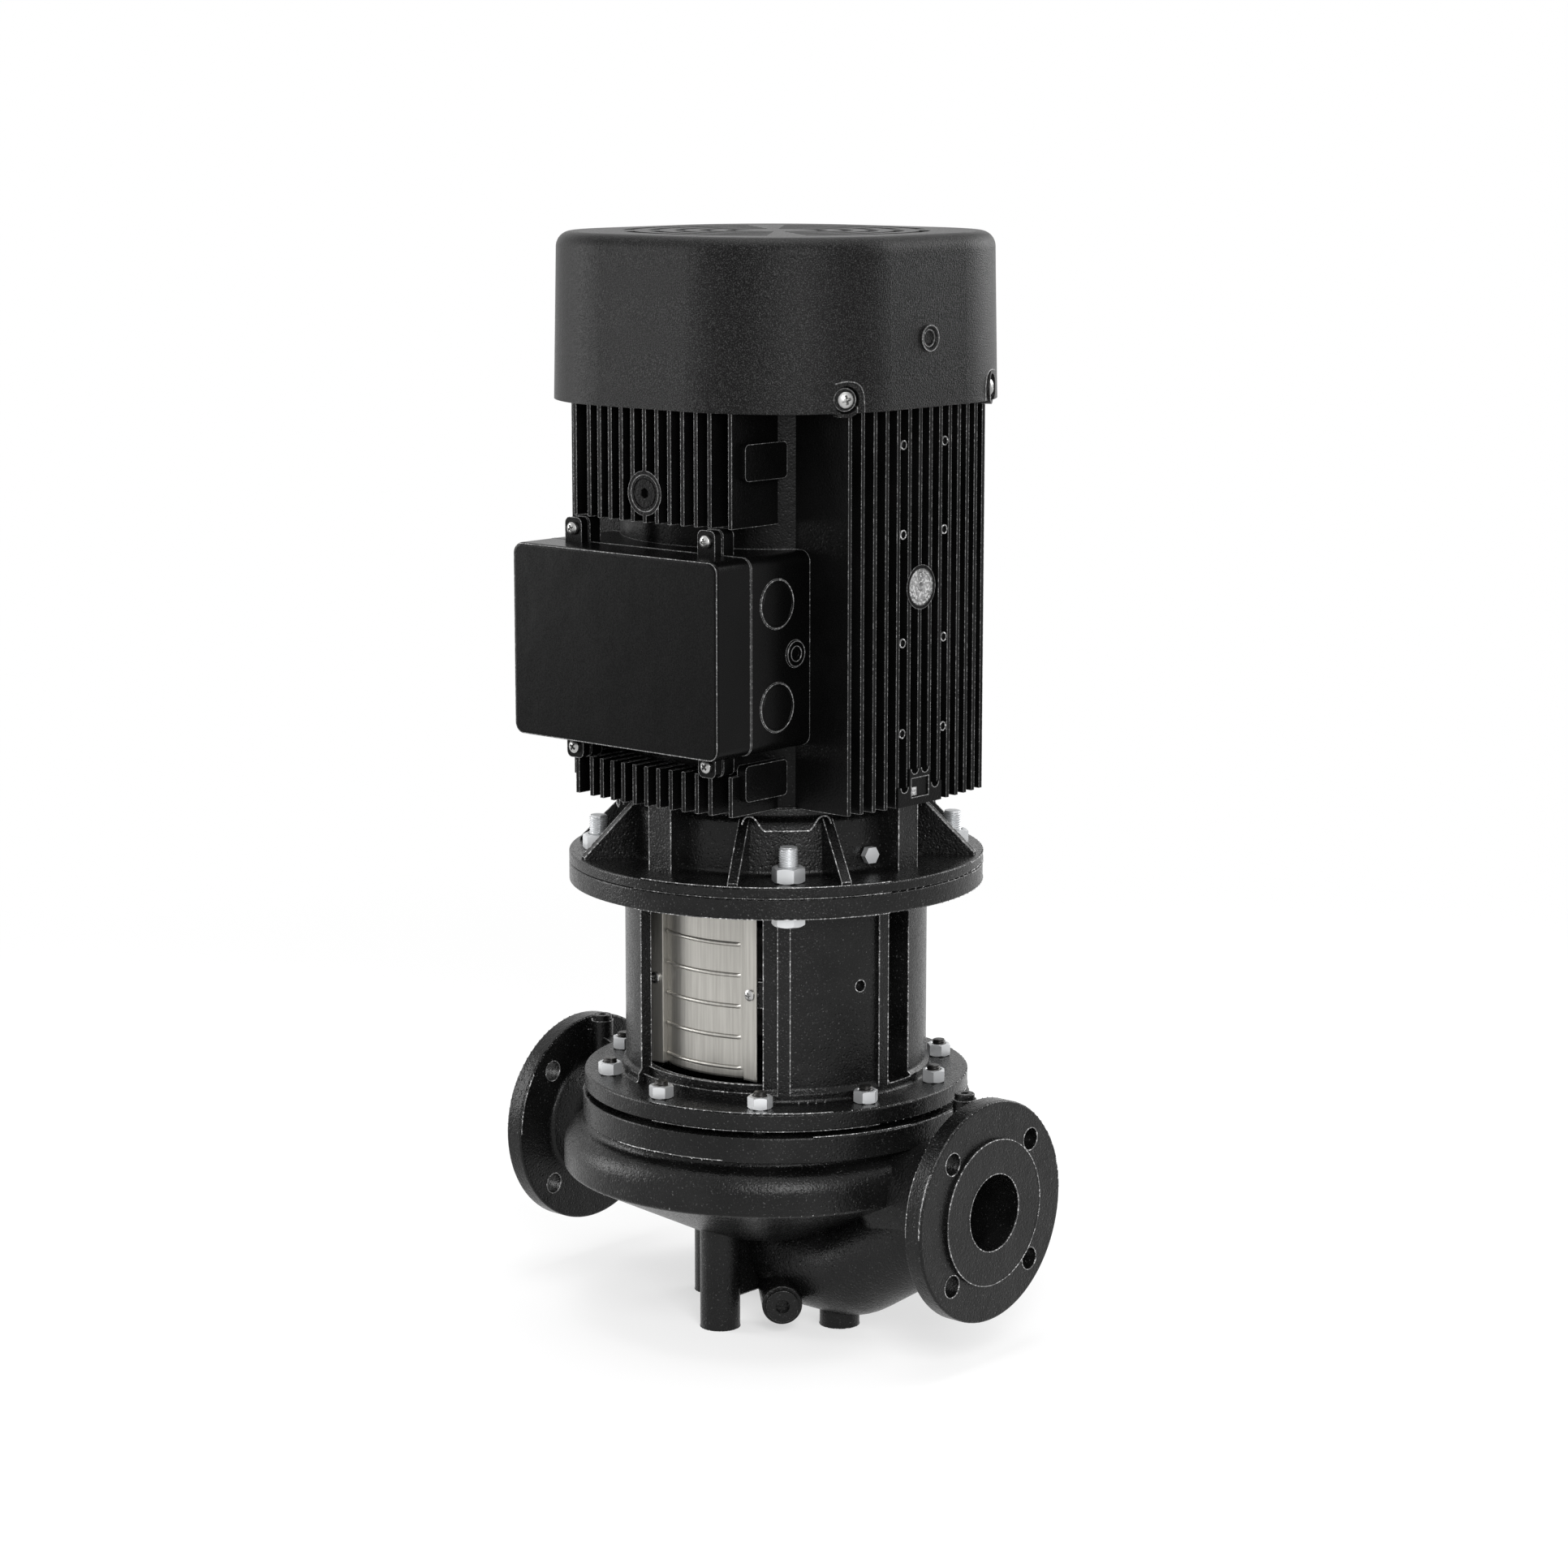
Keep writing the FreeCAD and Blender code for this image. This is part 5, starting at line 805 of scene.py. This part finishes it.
def footLips(look):
    # beads along the scoops between the fins and round the pocket, in a pale paint that is a painted
    # highlight
    lips, half, (low, high) = [], look["pocketHalf"], look["pocket"]
    for gap in look["gaps"]:
        reach = np.linspace(-1, 1, look["lipPoints"]) * (look["pitch"] - look["fin"]) / 2 * look["lipShare"]
        track = look["centre"] + look["pitch"] * gap + reach
        lips.append(np.stack([0 * track + look["face"], track, scoopTop(look, track)], -1))
    corners = [(-half, low), (half, low), (half, high), (-half, high), (-half, low)]
    lips += [np.array([(look["face"], look["centre"] + across, level) for across, level in pair])
             for pair in zip(corners[:-1], corners[1:])]
    return [barGrid(lip, look["lip"], look["lipGuide"]) for lip in lips]


def footSquare(look):
    # a small raised square on the pocket's floor
    (across, level), half = look["square"], look["squareHalf"]
    square = np.array([(look["face"] - look["pocketDepth"] + rise, look["centre"] + across + right * half,
                        level + up * half) for rise in (0, look["squareRise"])
                       for right, up in ((-1, -1), (1, -1), (1, 1), (-1, 1))]).reshape(2, 4, 3)
    middles = np.repeat(square.mean(1)[:, None], 4, 1)
    return np.concatenate([middles[:1], square, middles[1:]])


def makeFeet(look):
    sheet, lips, square, grids = footSheet(look), footLips(look), footSquare(look), []
    for side in (-1, 1):
        spin = np.array([side, side, 1.0])
        grids += [(sheet * spin, False), *((lip * spin, True, 1) for lip in lips), (square * spin, True, 2)]
    makePiece("finFeet", grids, "frameBlack fineEdge paleDisc", "pump")


makeFeet(feet)

# Arches round the cover's screws, as paths of (across, up) laid on the cover, and bosses under the heads; the
# arches and the bosses' rims are beads in a pale paint, a painted highlight
arches = {"boss": (0.0094, 0.165, 0.1765), "chamfer": 0.0006, "rim": 0.0004, "start": 0.25, "lean": 0.01,
          "bead": 0.0005,
          "paths": [[(-0.0095, 0.0128), (0, 0.0148), (0.0105, 0.0132), (0.0158, 0.0065), (0.0166, -0.0102)],
                    [(0.0094, 0.0), (0.0094, -0.0102)]]}


def makeArches(look, screw):
    cover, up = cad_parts["fan_cover"], np.array((0, 0, 1.0))
    radius, seat, top = look["boss"]
    chamfer, rim, level = look["chamfer"], look["rim"], screw["levels"][0]
    profile = [(0, 0), (radius, 0), (radius, top - seat - chamfer), (radius - chamfer, top - seat),
               (0, top - seat)]
    bosses, beads = [], []
    for turn in screw["turns"]:
        sense = 1 if turn < 90 or 180 < turn < 270 else -1    # across counts towards the side fins
        ahead, side = rayFrom(turn), rayFrom(turn + 90) * sense
        spot = ahead * seat + (0, 0, level)
        bosses.append((turnedTo(latheGrid(profile), spot, ahead), True))
        bosses.append((ringGrid(radius - rim, rim, top - seat, spot, ahead), True, 1))
        for path in look["paths"]:
            path = softPath([(across, rise, 0) for across, rise in path])
            starts = ahead * look["start"] + path[:, :1] * side + (path[:, 1:2] + level) * up
            hits = [cover.ray_cast(Vector(start), Vector(-ahead)) for start in starts]
            track = np.array([list(spot) for hit, spot, *rest in hits if hit])
            beads.append((barGrid(track, look["bead"], ahead + side * look["lean"]), True, 1))
    makePiece("coverLips", bosses + beads, "coverPlastic fineEdge", "pump")


makeArches(arches, screws["cover"])

# Bead round the face of the terminal box lid, in a pale paint that is a painted highlight
lidEdge = {"half": 0.1111, "low": 0.5159, "high": 0.6721, "corner": 0.0085, "face": 0.1972, "bead": 0.00045}


def makeLidRim(look, count=9):
    quarter = np.linspace(0, 90, count)
    turn = (np.arange(4)[:, None] * 90 + quarter[None]).ravel() * math.pi / 180
    middle, tall = (look["low"] + look["high"]) / 2, (look["high"] - look["low"]) / 2
    corner = look["corner"]
    across = corner * np.cos(turn) + np.repeat((1, -1, -1, 1), count) * (look["half"] - corner)
    rise = corner * np.sin(turn) + np.repeat((1, 1, -1, -1), count) * (tall - corner)
    track = np.stack([across, 0 * across - look["face"], middle + rise], -1)
    rim = barGrid(np.concatenate([track, track[:1]]), look["bead"], (0, 1.0, 0))
    makePiece("lidRim", [(rim, True)], "fineEdge", "pump")


makeLidRim(lidEdge)

# Lips of the castings: humps between the shield's ribs by (degrees, height), and two steps at each sill; all
# are beads in a pale paint, a painted highlight
lips = {"notch": [(-15.7, 0.449), (-14.6, 0.4555), (-11.4, 0.4555), (-8.4, 0.4437), (-6.6, 0.4437),
                  (6.6, 0.4437), (8.4, 0.4437), (11.4, 0.4555), (14.6, 0.4555), (15.7, 0.449)],
        "notchRadius": 0.1343, "notchBead": 0.0007, "notches": (45, 135, 225, 315),
        "sills": [(0.1142, 0.2262, -36, 34), (0.1198, 0.2192, -35.5, 39)], "sillBead": 0.0006,
        "sillPoints": 60}


def arcTrack(radius, turns, levels):
    return np.array([rayFrom(turn) * radius + (0, 0, level) for turn, level in zip(turns, levels)])


def makeLips(look):
    path = softPath([(turn, level, 0) for turn, level in look["notch"]])
    grids = [(barGrid(arcTrack(look["notchRadius"], middle + path[:, 0], path[:, 1]), look["notchBead"],
                      rayFrom(middle)), True) for middle in look["notches"]]
    for radius, level, first, last in look["sills"]:
        for half in (0, 180):
            turns = half + np.linspace(first, last, look["sillPoints"])
            track = arcTrack(radius, turns, np.full(len(turns), level))
            grids.append((barGrid(track, look["sillBead"], (0, 0, 1.0)), True))
    makePiece("castingLips", grids, "castEdge", "pump")


makeLips(lips)
print("plugs, stubs and lips are made")

# Castings: a thin bead of pale paint, a painted highlight, along every outer edge, by finish and radius
castings = {"motor_frame": ("fineEdge", 0.00024), "terminal_box_base": ("fineEdge", 0.0003),
            "terminal_box_lid": ("fineEdge", 0.0003), "motor_stool": ("castEdge", 0.0005),
            "drive_end_shield": ("castEdge", 0.0005), "pump_housing": ("castEdge", 0.0005),
            "fan_end_shield": ("castEdge", 0.0003)}
edgeRules = {"bend": 40, "proud": 1e-6, "join": 4e-6, "shortest": 1e-4}    # degrees, then metres


def outerEdges(mesh, rules):
    # ends and outward direction of each edge where two faces meet at more than the bend and stand out
    corner, counts = np.empty(len(mesh.loops), np.int32), np.empty(len(mesh.polygons), np.int32)
    ends, spots = np.empty(len(mesh.edges) * 2, np.int32), np.empty(len(mesh.vertices) * 3)
    normals, centres = np.empty(len(counts) * 3), np.empty(len(counts) * 3)
    mesh.loops.foreach_get("edge_index", corner)
    mesh.polygons.foreach_get("loop_total", counts)
    mesh.polygons.foreach_get("normal", normals)
    mesh.polygons.foreach_get("center", centres)
    mesh.edges.foreach_get("vertices", ends)
    mesh.vertices.foreach_get("co", spots)
    normals, centres = normals.reshape(-1, 3), centres.reshape(-1, 3)
    face = np.repeat(np.arange(len(counts)), counts)
    order = np.argsort(corner, kind="stable")
    corner, face = corner[order], face[order]
    first = np.nonzero(corner[1:] == corner[:-1])[0]
    one, two, edge = face[first], face[first + 1], corner[first]
    bend = np.einsum("ij,ij->i", normals[one], normals[two])
    proud = np.einsum("ij,ij->i", normals[one], centres[two] - centres[one])
    keep = (bend < math.cos(math.radians(rules["bend"]))) & (proud < -rules["proud"])
    ends, spots = ends.reshape(-1, 2)[edge[keep]], spots.reshape(-1, 3)
    outward = normals[one[keep]] + normals[two[keep]]
    return spots[ends[:, 0]], spots[ends[:, 1]], outward / np.linalg.norm(outward, axis=1)[:, None]


def edgeHighlightBeads(node, finish, radius, rules):
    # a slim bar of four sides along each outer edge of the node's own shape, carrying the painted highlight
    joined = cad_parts[node].data.copy()
    work = bmesh.new()
    work.from_mesh(joined)
    bmesh.ops.remove_doubles(work, verts=work.verts, dist=rules["join"])
    work.to_mesh(joined)
    work.free()
    start, end, outward = outerEdges(joined, rules)
    bpy.data.meshes.remove(joined)
    along = end - start
    long = np.linalg.norm(along, axis=1)
    keep = long > rules["shortest"]
    start, end, outward, along = start[keep], end[keep], outward[keep], along[keep] / long[keep][:, None]
    section = radius * np.stack([outward, np.cross(along, outward), -outward, -np.cross(along, outward)], 1)
    points = np.concatenate([start[:, None] + section, end[:, None] + section], 1).reshape(-1, 3)
    box = np.array([(0, 1, 5, 4), (1, 2, 6, 5), (2, 3, 7, 6), (3, 0, 4, 7), (3, 2, 1, 0), (4, 5, 6, 7)])
    faces = (np.arange(len(start))[:, None, None] * (box.max() + 1) + box).reshape(-1, 4)
    beads = bpy.data.meshes.new(node + "Edges")
    beads.from_pydata(points.tolist(), [], faces.tolist())
    beads.materials.append(finishes[finish])
    piece = bpy.data.objects.new(node + "Edges", beads)
    scene.collection.objects.link(piece)
    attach(piece, "pump")
    print(node, "has", len(start), "outer edges")


for node, (finish, radius) in castings.items():
    edgeHighlightBeads(node, finish, radius, edgeRules)
print("castings have their edges")
